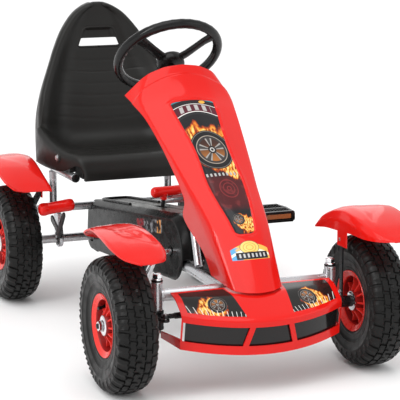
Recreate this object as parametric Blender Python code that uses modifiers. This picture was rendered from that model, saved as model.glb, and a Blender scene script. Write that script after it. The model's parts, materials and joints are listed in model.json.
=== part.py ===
"""A child's pedal go kart: tube frame, pneumatic wheels, chain drive, bucket seat and plastic body shells.

Metres, +Z up. The kart faces -Y, its left side is +X, and it stands on Z = 0. The origin is under the
middle of its bounding box. Lengths named as "behind" are measured rearward from the front axle.
"""
import math

import bmesh
import bpy
from mathutils import Matrix, Vector

# ------------------------------------------------------------------ driving dimensions
GAP = 0.0004                     # room left between pieces that touch
WHEELBASE = 0.780
FRONT_TRACK = 0.515
REAR_TRACK = 0.485
TYRE_RADIUS = 0.130              # 10 inch tyre on a 4 inch rim
TYRE_WIDTH = 0.080
AXLE_HEIGHT = TYRE_RADIUS
WHEEL_SIDES = 20

FRONT_AXLE_Y = -0.395
REAR_AXLE_Y = FRONT_AXLE_Y + WHEELBASE

TUBE_RADIUS = 0.0105             # main frame tubes
TUBE_SPREAD = 0.036              # each main tube's distance from the middle
TUBE_START = (0.0131, 0.1686)    # (behind, height) of the main tubes' ends
TUBE_END = (0.7795, 0.1997)
BEAM_RADIUS = 0.0125
BEAM_HEIGHT = 0.178
CROSS_RADIUS = 0.0095
CROSS_BEHIND = 0.790
CROSS_HALF = 0.1927
CROSS_HEIGHT = TUBE_END[1]

KINGPIN_X = 0.180
KINGPIN_RADIUS = 0.0050
HEAD_TUBE_RADIUS = 0.0115
HEAD_TUBE_BOTTOM = 0.150
HEAD_TUBE_TOP = 0.205
KNUCKLE_ARM = 0.045
KNUCKLE_ARM_HEIGHT = 0.140
TIE_ROD_HEIGHT = 0.1480          # of its outer eye
STUB_RADIUS = 0.0080

COLUMN_TILT = math.radians(47.0)
COLUMN_RADIUS = 0.0080
STEERING_CENTRE = (0.413, 0.582)   # (behind, height) of the steering wheel's middle
STEERING_RADIUS = 0.107
STEERING_GRIP = 0.0105
PITMAN_ARM = 0.027
PITMAN_PIN = 0.0028
PITMAN_DEPTH = 0.616             # from the steering wheel down to the pitman arm

AXLE_RADIUS = 0.0100
CARRIER_X = 0.130
CRANK_BEHIND = 0.262
CRANK_HEIGHT = 0.1985
CRANK_RADIUS = 0.0070
CRANK_THROW = 0.090
CRANK_ANGLE = math.radians(125.0)  # of the left arm, from +Y towards +Z
PEDAL_X = 0.147
CHAIN_PITCH = 0.0127
CHAINRING_TEETH = 20
SPROCKET_TEETH = 13

RAIL_X = 0.140
RAIL_RADIUS = 0.0095
RAIL_HEIGHT = 0.2965
COVER_HALF_WIDTH = 0.0520
COVER_WALL = 0.0025

LEFT = 1
RIGHT = -1


def behind(distance):
    """Y of a point this far behind the front axle."""
    return FRONT_AXLE_Y + distance


def sided(side, x, y, z):
    """A point on the kart's left (side 1) or right (side -1)."""
    return (side * x, y, z)


# ------------------------------------------------------------------ scene and materials
for old in list(bpy.data.objects):
    bpy.data.objects.remove(old, do_unlink=True)

PARTS = bpy.data.collections.new("pedal_go_kart")
TOOLS = bpy.data.collections.new("cutters")
bpy.context.scene.collection.children.link(PARTS)
bpy.context.scene.collection.children.link(TOOLS)


def finish(name, colour, roughness, metallic=0.0):
    made = bpy.data.materials.new(name)
    made.use_nodes = True
    shader = made.node_tree.nodes["Principled BSDF"]
    shader.inputs["Base Color"].default_value = (*colour, 1.0)
    shader.inputs["Roughness"].default_value = roughness
    shader.inputs["Metallic"].default_value = metallic
    made.diffuse_color = (*colour, 1.0)
    return made


RED = finish("red_plastic", (0.75, 0.02, 0.02), 0.22)
RIM_RED = finish("red_rim", (0.55, 0.02, 0.02), 0.30)
TYRE_BLACK = finish("tyre_rubber", (0.018, 0.018, 0.020), 0.75)
SEAT_BLACK = finish("seat_plastic", (0.030, 0.030, 0.032), 0.50)
GRIP_BLACK = finish("grip_plastic", (0.015, 0.015, 0.016), 0.35)
COVER_BLACK = finish("cover_plastic", (0.030, 0.030, 0.032), 0.30)
SILVER = finish("silver_tube", (0.70, 0.71, 0.72), 0.28, 1.0)
CHROME = finish("chrome", (0.80, 0.80, 0.82), 0.12, 1.0)
BLACK_STEEL = finish("black_steel", (0.02, 0.02, 0.02), 0.40, 0.3)
DARK_INSERT = finish("dark_insert", (0.02, 0.02, 0.025), 0.35)


# ------------------------------------------------------------------ modelling helpers
def mesh_object(name, mesh, surface, matrix=None):
    """A named object; a cutter or a piece to weld has no surface and goes with the tools."""
    made = bpy.data.objects.new(name, mesh)
    if surface is None:
        TOOLS.objects.link(made)
        made.hide_render = True
        made.display_type = "WIRE"
    else:
        PARTS.objects.link(made)
        mesh.materials.append(surface)
    if matrix is not None:
        made.matrix_world = matrix
    return made


def from_bmesh(name, bm, surface, matrix=None):
    mesh = bpy.data.meshes.new(name)
    bm.to_mesh(mesh)
    bm.free()
    return mesh_object(name, mesh, surface, matrix)


def pivot(piece, point):
    """Moves a piece's origin onto its joint's axis and leaves its shape where it is."""
    shift = piece.matrix_world.inverted() @ Vector(point)
    piece.data.transform(Matrix.Translation(-shift))
    piece.matrix_world = piece.matrix_world @ Matrix.Translation(shift)
    return piece


def along(start, end):
    """Places a piece made about Z with its middle between two points and its axis through both."""
    start = Vector(start)
    end = Vector(end)
    turn = (end - start).to_track_quat("Z", "Y").to_matrix().to_4x4()
    return Matrix.Translation((start + end) / 2) @ turn


def rod(name, start, end, radius, surface=None, sides=12, tip=None):
    bm = bmesh.new()
    length = (Vector(end) - Vector(start)).length
    bmesh.ops.create_cone(bm, cap_ends=True, segments=sides, radius1=radius,
                          radius2=radius if tip is None else tip, depth=length)
    return from_bmesh(name, bm, surface, along(start, end))


def block(name, low, high, surface=None, bevel=0.0, matrix=None):
    """A box between two corners, its edges rounded by a Bevel modifier."""
    corners = [sorted(pair) for pair in zip(low, high)]
    low = Vector([pair[0] for pair in corners])
    high = Vector([pair[1] for pair in corners])
    bm = bmesh.new()
    bmesh.ops.create_cube(bm, size=1.0)
    bmesh.ops.scale(bm, vec=high - low, verts=bm.verts)
    place = Matrix.Translation((low + high) / 2)
    made = from_bmesh(name, bm, surface, place if matrix is None else matrix @ place)
    if bevel:
        rounding = made.modifiers.new("rounding", "BEVEL")
        rounding.width = bevel
        rounding.segments = 1
    return made


def pipe(name, points, radius, surface=None, resolution=3):
    """A round bar along straight runs, as a curve made into a closed mesh."""
    curve = bpy.data.curves.new(name + "_path", "CURVE")
    curve.dimensions = "3D"
    curve.bevel_depth = radius
    curve.bevel_resolution = resolution
    curve.use_fill_caps = True
    spline = curve.splines.new("POLY")
    spline.points.add(len(points) - 1)
    for spot, point in zip(spline.points, points):
        spot.co = (*point, 1.0)
    return curve_to_mesh(name, curve, Matrix(), surface)


def plate(name, outlines, thickness, matrix, surface=None):
    """Flat outlines, the later ones holes in the first, with a thickness along the plate's own Z."""
    curve = bpy.data.curves.new(name + "_outline", "CURVE")
    curve.dimensions = "2D"
    curve.fill_mode = "BOTH"
    curve.extrude = thickness / 2
    for outline in outlines:
        spline = curve.splines.new("POLY")
        spline.points.add(len(outline) - 1)
        for spot, (across, up) in zip(spline.points, outline):
            spot.co = (across, up, 0.0, 1.0)
        spline.use_cyclic_u = True
    return curve_to_mesh(name, curve, matrix, surface)


def curve_to_mesh(name, curve, matrix, surface):
    drawn = bpy.data.objects.new(name + "_curve", curve)
    TOOLS.objects.link(drawn)
    drawn.matrix_world = matrix
    bpy.context.view_layer.update()
    shape = drawn.evaluated_get(bpy.context.evaluated_depsgraph_get())
    mesh = bpy.data.meshes.new_from_object(shape)
    bm = bmesh.new()
    bm.from_mesh(mesh)
    bmesh.ops.remove_doubles(bm, verts=bm.verts, dist=1e-6)
    bmesh.ops.recalc_face_normals(bm, faces=bm.faces)
    bm.to_mesh(mesh)
    bm.free()
    mesh.materials.clear()
    bpy.data.objects.remove(drawn)
    return mesh_object(name, mesh, surface, matrix)


def turned(name, profile, surface, steps, matrix, closed=True):
    """A profile of (radius, height) turned about Z; each radius is measured to the middle of a facet."""
    widen = 1.0 / math.cos(math.pi / steps)
    spots = [(radius * widen, 0.0, height) for radius, height in profile]
    edges = [(index, index + 1) for index in range(len(spots) - 1)]
    if closed:
        edges.append((len(spots) - 1, 0))
    mesh = bpy.data.meshes.new(name)
    mesh.from_pydata(spots, edges, [])
    made = mesh_object(name, mesh, surface, matrix)
    screw = made.modifiers.new("turn", "SCREW")
    screw.steps = steps
    screw.render_steps = steps
    screw.use_merge_vertices = True
    screw.merge_threshold = 0.00001
    return made


def sheet(name, rows, thickness, surface, side=1.0, even=True):
    """A grid of points as an open surface, thickened to one side by Solidify."""
    width = len(rows[0])
    spots = [tuple(point) for row in rows for point in row]
    faces = []
    for row in range(len(rows) - 1):
        for column in range(width - 1):
            first = row * width + column
            faces.append((first, first + 1, first + width + 1, first + width))
    mesh = bpy.data.meshes.new(name)
    mesh.from_pydata(spots, [], faces)
    made = mesh_object(name, mesh, surface)
    wall = made.modifiers.new("wall", "SOLIDIFY")
    wall.thickness = thickness
    wall.offset = -side
    wall.use_even_offset = even
    return made


def weld(piece, *others):
    for other in others:
        join = piece.modifiers.new("weld_" + other.name, "BOOLEAN")
        join.operation = "UNION"
        join.object = other


def cut(piece, *cutters):
    for cutter in cutters:
        removal = piece.modifiers.new("cut_" + cutter.name, "BOOLEAN")
        removal.operation = "DIFFERENCE"
        removal.object = cutter


def smooth_rows(stations, rows):
    """Resamples stations, each a tuple of numbers, along a curve that passes through all of them."""
    made = []
    last = len(stations) - 1
    for index in range(rows):
        place = index * last / (rows - 1)
        start = min(int(place), last - 1)
        share = place - start
        ring = [stations[min(max(start + step, 0), last)] for step in (-1, 0, 1, 2)]
        made.append(tuple(catmull(values, share) for values in zip(*ring)))
    return made


def catmull(values, share):
    before, first, second, after = values
    slope_in = (second - before) / 2
    slope_out = (after - first) / 2
    rise = second - first
    return first + share * (slope_in + share * (3 * rise - 2 * slope_in - slope_out
                                                + share * (slope_in + slope_out - 2 * rise)))


def circle_points(centre, radius, count):
    across, up = centre
    return [(across + radius * math.cos(2 * math.pi * step / count),
             up + radius * math.sin(2 * math.pi * step / count)) for step in range(count)]


def belt_outline(circles, count=20):
    """The outline of a belt stretched round circles of ((across, up), radius)."""
    spots = sorted({spot for centre, radius in circles
                    for spot in circle_points(centre, radius, count)})

    def half(order):
        chain = []
        for spot in order:
            while len(chain) > 1 and turn_of(chain[-2], chain[-1], spot) <= 1e-12:
                chain.pop()
            chain.append(spot)
        return chain[:-1]

    return half(spots) + half(spots[::-1])


def turn_of(first, second, third):
    return ((second[0] - first[0]) * (third[1] - first[1])
            - (second[1] - first[1]) * (third[0] - first[0]))


def toothed_outline(teeth):
    """A chain wheel's outline, three points a tooth, about its pitch radius."""
    pitch_radius = CHAIN_PITCH / (2 * math.sin(math.pi / teeth))
    outline = []
    for tooth in range(teeth):
        middle = 2 * math.pi * tooth / teeth
        for share, height in ((-0.25, 0.0025), (0.0, 0.0028), (0.25, 0.0025), (0.5, -0.0040)):
            angle = middle + share * 2 * math.pi / teeth
            radius = pitch_radius + height
            outline.append((radius * math.cos(angle), radius * math.sin(angle)))
    return outline


def side_view(x, distance=0.0, height=0.0):
    """Lays an outline of (rearward, up) in a plane of constant X."""
    turn = Matrix(((0, 0, 1, 0), (1, 0, 0, 0), (0, 1, 0, 0), (0, 0, 0, 1)))
    return Matrix.Translation((x, behind(distance), height)) @ turn


# ------------------------------------------------------------------ wheels
RIM_PROFILE = (
    (0.0607, 0.0325), (0.0498, 0.0271), (0.0498, -0.0271), (0.0607, -0.0325), (0.0465, -0.0295),
    (0.0465, 0.0020), (0.0190, 0.0020), (0.0190, -0.0300), (0.0085, -0.0300), (0.0085, 0.0300),
    (0.0190, 0.0300), (0.0190, 0.0080), (0.0465, 0.0080), (0.0465, 0.0295),
)


def tyre_profile():
    """A hollow casing, open towards the rim, with its beads on the rim's seats."""
    half = TYRE_WIDTH / 2
    outer = [(TYRE_RADIUS, 0.0200), (0.1255, 0.0330), (0.109, half), (0.0615, 0.0310), (0.0503, 0.0265)]
    inner = [(0.0503, 0.0175), (0.107, 0.0350), (0.1215, 0.0265)]
    near = outer + inner
    far = [(radius, -height) for radius, height in near]
    return near[:5][::-1] + far[:5] + far[5:] + near[5:][::-1]


def wheel(place, side, track, axle_y):
    """A tyre, its rim and the cap nut that holds them; the wheel's outer face is its local +Z."""
    turn = Matrix.Rotation(side * math.pi / 2, 4, "Y") @ Matrix.Rotation(math.pi / WHEEL_SIDES, 4, "Z")
    matrix = Matrix.Translation((side * track / 2, axle_y, AXLE_HEIGHT)) @ turn
    turned("tyre_" + place, tyre_profile(), TYRE_BLACK, WHEEL_SIDES, matrix)
    turned("rim_" + place, RIM_PROFILE, RIM_RED, WHEEL_SIDES, matrix)
    nut_start = side * (track / 2 + 0.0340)
    nut_end = side * (track / 2 + 0.0430)
    rod("hub_nut_" + place, (nut_start, axle_y, AXLE_HEIGHT), (nut_end, axle_y, AXLE_HEIGHT),
        0.0105, CHROME, sides=6, tip=0.0080)


for word, sign in (("left", LEFT), ("right", RIGHT)):
    wheel("front_" + word, sign, FRONT_TRACK, FRONT_AXLE_Y)
    wheel("rear_" + word, sign, REAR_TRACK, REAR_AXLE_Y)


# ------------------------------------------------------------------ frame
def frame_tubes():
    for word, side in (("left", LEFT), ("right", RIGHT)):
        x = side * TUBE_SPREAD
        rod("main_tube_" + word, (x, behind(TUBE_START[0]), TUBE_START[1]),
            (x, behind(TUBE_END[0]) - GAP, TUBE_END[1]), TUBE_RADIUS, SILVER)
        rail_x = side * RAIL_X
        rod("seat_rail_" + word, (rail_x, behind(0.616), RAIL_HEIGHT), (rail_x, behind(0.860), RAIL_HEIGHT),
            RAIL_RADIUS, SILVER)
        rod("seat_post_" + word, (rail_x, behind(CROSS_BEHIND), CROSS_HEIGHT + CROSS_RADIUS + GAP),
            (rail_x, behind(CROSS_BEHIND), RAIL_HEIGHT - RAIL_RADIUS - GAP), 0.0090, SILVER)
    rod("rear_cross_tube", (-CROSS_HALF, behind(CROSS_BEHIND), CROSS_HEIGHT),
        (CROSS_HALF, behind(CROSS_BEHIND), CROSS_HEIGHT), CROSS_RADIUS, SILVER)


def front_axle_beam():
    """A cross beam with a bored upright tube at each end for the kingpin."""
    beam = rod("front_axle_beam", (-KINGPIN_X, FRONT_AXLE_Y, BEAM_HEIGHT),
               (KINGPIN_X, FRONT_AXLE_Y, BEAM_HEIGHT), BEAM_RADIUS * 0.99, SILVER)
    for word, side in (("left", LEFT), ("right", RIGHT)):
        x = side * KINGPIN_X
        weld(beam, rod("head_tube_" + word, (x, FRONT_AXLE_Y, HEAD_TUBE_BOTTOM),
                       (x, FRONT_AXLE_Y, HEAD_TUBE_TOP), HEAD_TUBE_RADIUS, sides=16))
        cut(beam, rod("head_bore_" + word, (x, FRONT_AXLE_Y, 0.10), (x, FRONT_AXLE_Y, 0.25),
                      KINGPIN_RADIUS + 0.0008))


def axle_carriers():
    """The plates that hang the rear axle under the cross tube."""
    top = CROSS_HEIGHT - CROSS_RADIUS - GAP
    for word, side in (("left", LEFT), ("right", RIGHT)):
        lug = [((WHEELBASE, AXLE_HEIGHT), 0.020), ((CROSS_BEHIND - 0.012, top - 0.004), 0.004),
               ((CROSS_BEHIND + 0.012, top - 0.004), 0.004)]
        carrier = plate("axle_carrier_" + word, [belt_outline(lug, 16)], 0.010,
                        side_view(side * CARRIER_X), SILVER)
        cut(carrier, rod("carrier_bore_" + word, (side * 0.10, REAR_AXLE_Y, AXLE_HEIGHT),
                         (side * 0.16, REAR_AXLE_Y, AXLE_HEIGHT), AXLE_RADIUS + 0.0008, sides=16))


def crank_bearings():
    for word, side in (("left", LEFT), ("right", RIGHT)):
        x = side * TUBE_SPREAD
        bearing = block("crank_bearing_" + word, (x - 0.010, behind(CRANK_BEHIND) - 0.016, 0.1905),
                        (x + 0.010, behind(CRANK_BEHIND) + 0.016, 0.2130), BLACK_STEEL, 0.002)
        cut(bearing, rod("bearing_bore_" + word, (x - 0.03, behind(CRANK_BEHIND), CRANK_HEIGHT),
                         (x + 0.03, behind(CRANK_BEHIND), CRANK_HEIGHT), CRANK_RADIUS + 0.0005, sides=16))


frame_tubes()
front_axle_beam()
axle_carriers()


# ------------------------------------------------------------------ steering
COLUMN_UP = Vector((0.0, math.cos(COLUMN_TILT), math.sin(COLUMN_TILT)))
COLUMN_FORWARD = Vector((0.0, -math.sin(COLUMN_TILT), math.cos(COLUMN_TILT)))
WHEEL_CENTRE = Vector((0.0, behind(STEERING_CENTRE[0]), STEERING_CENTRE[1]))
COLUMN_FRAME = Matrix.Translation(WHEEL_CENTRE) @ Matrix((
    (1.0, 0.0, 0.0, 0.0),
    (0.0, -COLUMN_FORWARD.y, COLUMN_UP.y, 0.0),
    (0.0, -COLUMN_FORWARD.z, COLUMN_UP.z, 0.0),
    (0.0, 0.0, 0.0, 1.0),
))


def on_column(depth, forward=0.0, across=0.0):
    """A point this far down the column from the steering wheel's middle."""
    return WHEEL_CENTRE - COLUMN_UP * depth + COLUMN_FORWARD * forward + Vector((across, 0.0, 0.0))


def square_to_column(depth):
    """Lays an outline of (across, forward) square to the column; across runs to the kart's left."""
    turn = Matrix((
        (1.0, 0.0, 0.0, 0.0),
        (0.0, COLUMN_FORWARD.y, -COLUMN_UP.y, 0.0),
        (0.0, COLUMN_FORWARD.z, -COLUMN_UP.z, 0.0),
        (0.0, 0.0, 0.0, 1.0),
    ))
    return Matrix.Translation(on_column(depth)) @ turn


def steering_wheel():
    """A ring, three spokes and a hub that sits below the ring's plane."""
    bpy.ops.mesh.primitive_torus_add(major_segments=32, minor_segments=8,
                                     major_radius=STEERING_RADIUS, minor_radius=STEERING_GRIP)
    ring = bpy.context.object
    ring.name = "steering_wheel"
    for holder in list(ring.users_collection):
        holder.objects.unlink(ring)
    PARTS.objects.link(ring)
    ring.data.materials.append(GRIP_BLACK)
    ring.matrix_world = COLUMN_FRAME
    weld(ring, rod("steering_hub", on_column(0.0300), on_column(0.0080), 0.030, sides=16, tip=0.026))
    for index, degrees in enumerate((38.0, 142.0, 270.0)):
        angle = math.radians(degrees)
        inner = on_column(0.017, 0.020 * math.sin(angle), 0.020 * math.cos(angle))
        outer = on_column(0.001, STEERING_RADIUS * math.sin(angle), STEERING_RADIUS * math.cos(angle))
        weld(ring, rod("spoke_%d" % index, inner, outer, 0.0080, sides=8, tip=0.0065))


def steering_column():
    """A shaft with the pitman arm and its pin near the lower end."""
    column = rod("steering_column", on_column(PITMAN_DEPTH + 0.006), on_column(0.0304),
                 COLUMN_RADIUS, BLACK_STEEL)
    arm = belt_outline([((0.0, 0.0), 0.012), ((0.0, PITMAN_ARM), 0.007)], 16)
    weld(column, plate("pitman_arm", [arm], 0.005, square_to_column(PITMAN_DEPTH)))
    weld(column, rod("pitman_pin", on_column(PITMAN_DEPTH + 0.013, PITMAN_ARM),
                     on_column(PITMAN_DEPTH - 0.013, PITMAN_ARM), PITMAN_PIN, sides=8))


def steering_mounts():
    """The lower bush between the main tubes, and the upper bush on its own support."""
    lower = 0.5427
    reach = TUBE_SPREAD - TUBE_RADIUS - GAP
    bracket = block("steering_bracket", (-reach, behind(0.038), 0.166), (reach, behind(0.062), 0.179),
                    BLACK_STEEL)
    weld(bracket, rod("lower_bush", on_column(lower + 0.010), on_column(lower - 0.010), 0.0130, sides=16))
    cut(bracket, rod("lower_bush_bore", on_column(lower + 0.05), on_column(lower - 0.05),
                     COLUMN_RADIUS + 0.0006, sides=16))
    upper = 0.166
    foot = (0.150, TUBE_START[1] + 0.0057 + TUBE_RADIUS + 0.0055)
    legs = [Vector((-TUBE_SPREAD, behind(foot[0]), foot[1])), on_column(upper, -0.0205, -0.010),
            on_column(upper, -0.0205, 0.010), Vector((TUBE_SPREAD, behind(foot[0]), foot[1]))]
    support = pipe("steering_support", legs, 0.0080, SILVER)
    weld(support, rod("upper_bush", on_column(upper + 0.012), on_column(upper - 0.012), 0.0135, sides=16))
    cut(support, rod("upper_bush_bore", on_column(upper + 0.06), on_column(upper - 0.06),
                     COLUMN_RADIUS + 0.0006, sides=16))


def knuckle(word, side):
    """A sleeve on the kingpin with the wheel's stub axle and the steering arm."""
    x = side * KINGPIN_X
    wheel_x = side * FRONT_TRACK / 2
    sleeve = rod("knuckle_" + word, (x, FRONT_AXLE_Y, 0.1130), (x, FRONT_AXLE_Y, 0.1494),
                 0.0130, BLACK_STEEL, sides=16)
    weld(sleeve, rod("collar_" + word, (side * 0.186, FRONT_AXLE_Y, AXLE_HEIGHT),
                     (wheel_x - side * 0.0306, FRONT_AXLE_Y, AXLE_HEIGHT), 0.0115))
    weld(sleeve, rod("stub_" + word, (side * 0.200, FRONT_AXLE_Y, AXLE_HEIGHT),
                     (wheel_x + side * 0.0336, FRONT_AXLE_Y, AXLE_HEIGHT), STUB_RADIUS))
    arm = belt_outline([((0.0, 0.0), 0.0125), ((0.0, -KNUCKLE_ARM), 0.008)], 16)
    flat = Matrix.Translation((x, FRONT_AXLE_Y, KNUCKLE_ARM_HEIGHT))
    weld(sleeve, plate("steering_arm_" + word, [arm], 0.005, flat))
    weld(sleeve, rod("arm_pin_" + word, (x, FRONT_AXLE_Y - KNUCKLE_ARM, KNUCKLE_ARM_HEIGHT),
                     (x, FRONT_AXLE_Y - KNUCKLE_ARM, TIE_ROD_HEIGHT + 0.0050), 0.0040, sides=10))
    cut(sleeve, rod("sleeve_bore_" + word, (x, FRONT_AXLE_Y, 0.10), (x, FRONT_AXLE_Y, 0.17),
                    KINGPIN_RADIUS + 0.0008))
    kingpin = (
        (0.0, 0.2215), (0.0090, 0.2215), (0.0090, 0.2115), (0.0110, 0.2112), (0.0110, 0.2054),
        (KINGPIN_RADIUS, 0.2054), (KINGPIN_RADIUS, 0.1126), (0.0085, 0.1126), (0.0085, 0.1050),
        (0.0, 0.1050),
    )
    turned("kingpin_bolt_" + word, kingpin, CHROME, 10, Matrix.Translation((x, FRONT_AXLE_Y, 0.0)),
           closed=False)


def tie_rod(word, side, lift):
    """A rod from the steering arm's pin to the pitman arm's pin, where its eye is loose."""
    outer = Vector((side * KINGPIN_X, FRONT_AXLE_Y - KNUCKLE_ARM, TIE_ROD_HEIGHT))
    inner = on_column(PITMAN_DEPTH - lift, PITMAN_ARM)
    run = (inner - outer).normalized()
    body = rod("tie_rod_" + word, outer + run * 0.0055, inner - run * 0.0075, 0.0050, BLACK_STEEL, sides=10)
    weld(body, rod("outer_eye_" + word, outer - Vector((0, 0, 0.0030)), outer + Vector((0, 0, 0.0030)),
                   0.0085, sides=14))
    weld(body, rod("inner_eye_" + word, inner - COLUMN_UP * 0.0030, inner + COLUMN_UP * 0.0030,
                   0.0105, sides=14))
    pivot(body, outer)
    cut(body, rod("outer_hole_" + word, outer - Vector((0, 0, 0.02)), outer + Vector((0, 0, 0.02)),
                  0.0045, sides=14))
    cut(body, rod("inner_hole_" + word, inner - COLUMN_UP * 0.02, inner + COLUMN_UP * 0.02,
                  0.0073, sides=14))


steering_wheel()
steering_column()
steering_mounts()
for word, sign in (("left", LEFT), ("right", RIGHT)):
    knuckle(word, sign)
    tie_rod(word, sign, sign * 0.0085)


# ------------------------------------------------------------------ drive
def rear_axle():
    half = REAR_TRACK / 2 + 0.0336
    profile = ((0.0, half), (STUB_RADIUS, half), (STUB_RADIUS, 0.2115), (AXLE_RADIUS, 0.2115),
               (AXLE_RADIUS, -0.2115), (STUB_RADIUS, -0.2115), (STUB_RADIUS, -half), (0.0, -half))
    lengthwise = Matrix.Translation((0, REAR_AXLE_Y, AXLE_HEIGHT)) @ Matrix.Rotation(math.pi / 2, 4, "Y")
    turned("rear_axle", profile, SILVER, 12, lengthwise, closed=False)
    plate("sprocket", [toothed_outline(SPROCKET_TEETH), circle_points((0, 0), AXLE_RADIUS + 0.0008, 16)],
          0.004, side_view(0.0, WHEELBASE, AXLE_HEIGHT), SILVER)


def crankset():
    """A one-piece bent crank, its chainring and the two pedals that turn on its ends."""
    y = behind(CRANK_BEHIND)
    throw = Vector((0.0, math.cos(CRANK_ANGLE), math.sin(CRANK_ANGLE))) * CRANK_THROW
    middle = Vector((0.0, y, CRANK_HEIGHT))
    bends = []
    for side, reach in ((RIGHT, (0.1865, 0.0950, 0.0800)), (LEFT, (0.0800, 0.0950, 0.1865))):
        for x in reach:
            offset = throw * side if x > 0.09 else Vector()
            bends.append(middle + offset + Vector((side * x, 0, 0)))
    pivot(pipe("crank", bends, CRANK_RADIUS, CHROME), middle)
    plate("chainring", [toothed_outline(CHAINRING_TEETH), circle_points((0, 0), CRANK_RADIUS + 0.0005, 16)],
          0.004, side_view(0.0, CRANK_BEHIND, CRANK_HEIGHT), SILVER)
    for word, side in (("left", LEFT), ("right", RIGHT)):
        centre = middle + throw * side + Vector((side * PEDAL_X, 0, 0))
        pedal = block("pedal_" + word, centre - Vector((0.036, 0.042, 0.012)),
                      centre + Vector((0.036, 0.042, 0.012)), GRIP_BLACK, 0.004)
        cut(pedal, rod("pedal_bore_" + word, centre - Vector((0.06, 0, 0)), centre + Vector((0.06, 0, 0)),
                       CRANK_RADIUS + 0.0006, sides=16))


def tooth_tip(teeth):
    return CHAIN_PITCH / (2 * math.sin(math.pi / teeth)) + 0.0028


def chain():
    """The chain's closed loop, just clear of the teeth of both wheels."""
    wheels = (((CRANK_BEHIND, CRANK_HEIGHT), tooth_tip(CHAINRING_TEETH)),
              ((WHEELBASE, AXLE_HEIGHT), tooth_tip(SPROCKET_TEETH)))
    outer = belt_outline([(centre, radius + 0.0085) for centre, radius in wheels], 28)
    inner = belt_outline([(centre, radius + 0.0010) for centre, radius in wheels], 28)
    plate("chain", [outer, inner], 0.008, side_view(0.0), BLACK_STEEL)


def chain_cover():
    """Two half shells with closed sides and an open underside, which meet along the middle."""
    circles = [((CRANK_BEHIND, 0.2035), 0.0725), ((0.790, 0.1850), 0.0270), ((0.783, AXLE_HEIGHT), 0.041)]
    outer = belt_outline(circles, 24)
    inner = belt_outline([(centre, radius - COVER_WALL) for centre, radius in circles], 24)
    open_front = [(0.10, 0.05), (0.10, 0.192), (0.262, 0.192), (0.262, 0.150), (0.785, 0.115),
                  (0.785, 0.05)]
    inside_width = 2 * (COVER_HALF_WIDTH - COVER_WALL)
    hollow = plate("cover_hollow", [inner], inside_width, side_view(0.0))
    belly = plate("cover_belly", [open_front], inside_width, side_view(0.0))
    slot = block("gear_slot", (-0.0075, behind(0.418), 0.225), (0.0075, behind(0.484), 0.30))
    holes = [
        rod(name, (-0.1, behind(distance), height), (0.1, behind(distance), height), radius, sides=16)
        for name, distance, height, radius in (
            ("crank_hole", CRANK_BEHIND, CRANK_HEIGHT, CRANK_RADIUS + 0.0050),
            ("axle_hole", WHEELBASE, AXLE_HEIGHT, AXLE_RADIUS + 0.0040),
            ("tube_hole", CROSS_BEHIND, CROSS_HEIGHT, CROSS_RADIUS + 0.0010),
        )
    ]
    for word, side in (("left", LEFT), ("right", RIGHT)):
        half = COVER_HALF_WIDTH - GAP / 2
        middle = side * (COVER_HALF_WIDTH + GAP / 2) / 2
        shell = plate("chain_cover_" + word, [outer], half, side_view(middle), COVER_BLACK)
        cut(shell, hollow, belly, slot, *holes)


crank_bearings()
rear_axle()
crankset()
chain()
chain_cover()


# ------------------------------------------------------------------ seat
SEAT_STATIONS = (
    # behind, height, half width, edge forward, edge up, skirt out, skirt back, skirt down
    (0.603, 0.2925, 0.116, 0.000, 0.000, 0.004, 0.003, 0.003),
    (0.599, 0.3150, 0.120, 0.000, 0.000, 0.006, 0.003, 0.006),
    (0.612, 0.3380, 0.128, 0.000, 0.001, 0.007, 0.003, 0.014),
    (0.655, 0.3400, 0.152, 0.000, 0.008, 0.004, 0.002, 0.040),
    (0.720, 0.3370, 0.166, 0.000, 0.030, 0.003, 0.002, 0.0595),
    (0.780, 0.3370, 0.171, 0.010, 0.052, 0.001, 0.018, 0.080),
    (0.818, 0.3600, 0.167, 0.042, 0.038, -0.004, 0.052, 0.086),
    (0.828, 0.4000, 0.163, 0.050, 0.020, 0.000, 0.050, 0.025),
    (0.838, 0.4450, 0.154, 0.048, 0.010, 0.002, 0.032, 0.006),
    (0.850, 0.4850, 0.139, 0.042, 0.006, 0.002, 0.024, 0.002),
    (0.861, 0.5150, 0.124, 0.036, 0.004, 0.002, 0.022, 0.001),
    (0.870, 0.5580, 0.104, 0.028, 0.002, 0.002, 0.022, 0.000),
    (0.874, 0.5960, 0.083, 0.020, 0.000, 0.002, 0.022, -0.002),
    (0.877, 0.6300, 0.057, 0.012, -0.002, 0.002, 0.020, -0.002),
    (0.878, 0.6480, 0.034, 0.007, -0.003, 0.002, 0.018, -0.002),
    (0.880, 0.6560, 0.014, 0.004, -0.002, 0.002, 0.016, -0.001),
    (0.896, 0.6540, 0.014, 0.002, -0.002, 0.002, 0.006, 0.004),
)
SEAT_WALL = 0.005
SEAT_FOOT_HALF = 0.007           # half the width of the feet on the rails


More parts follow.
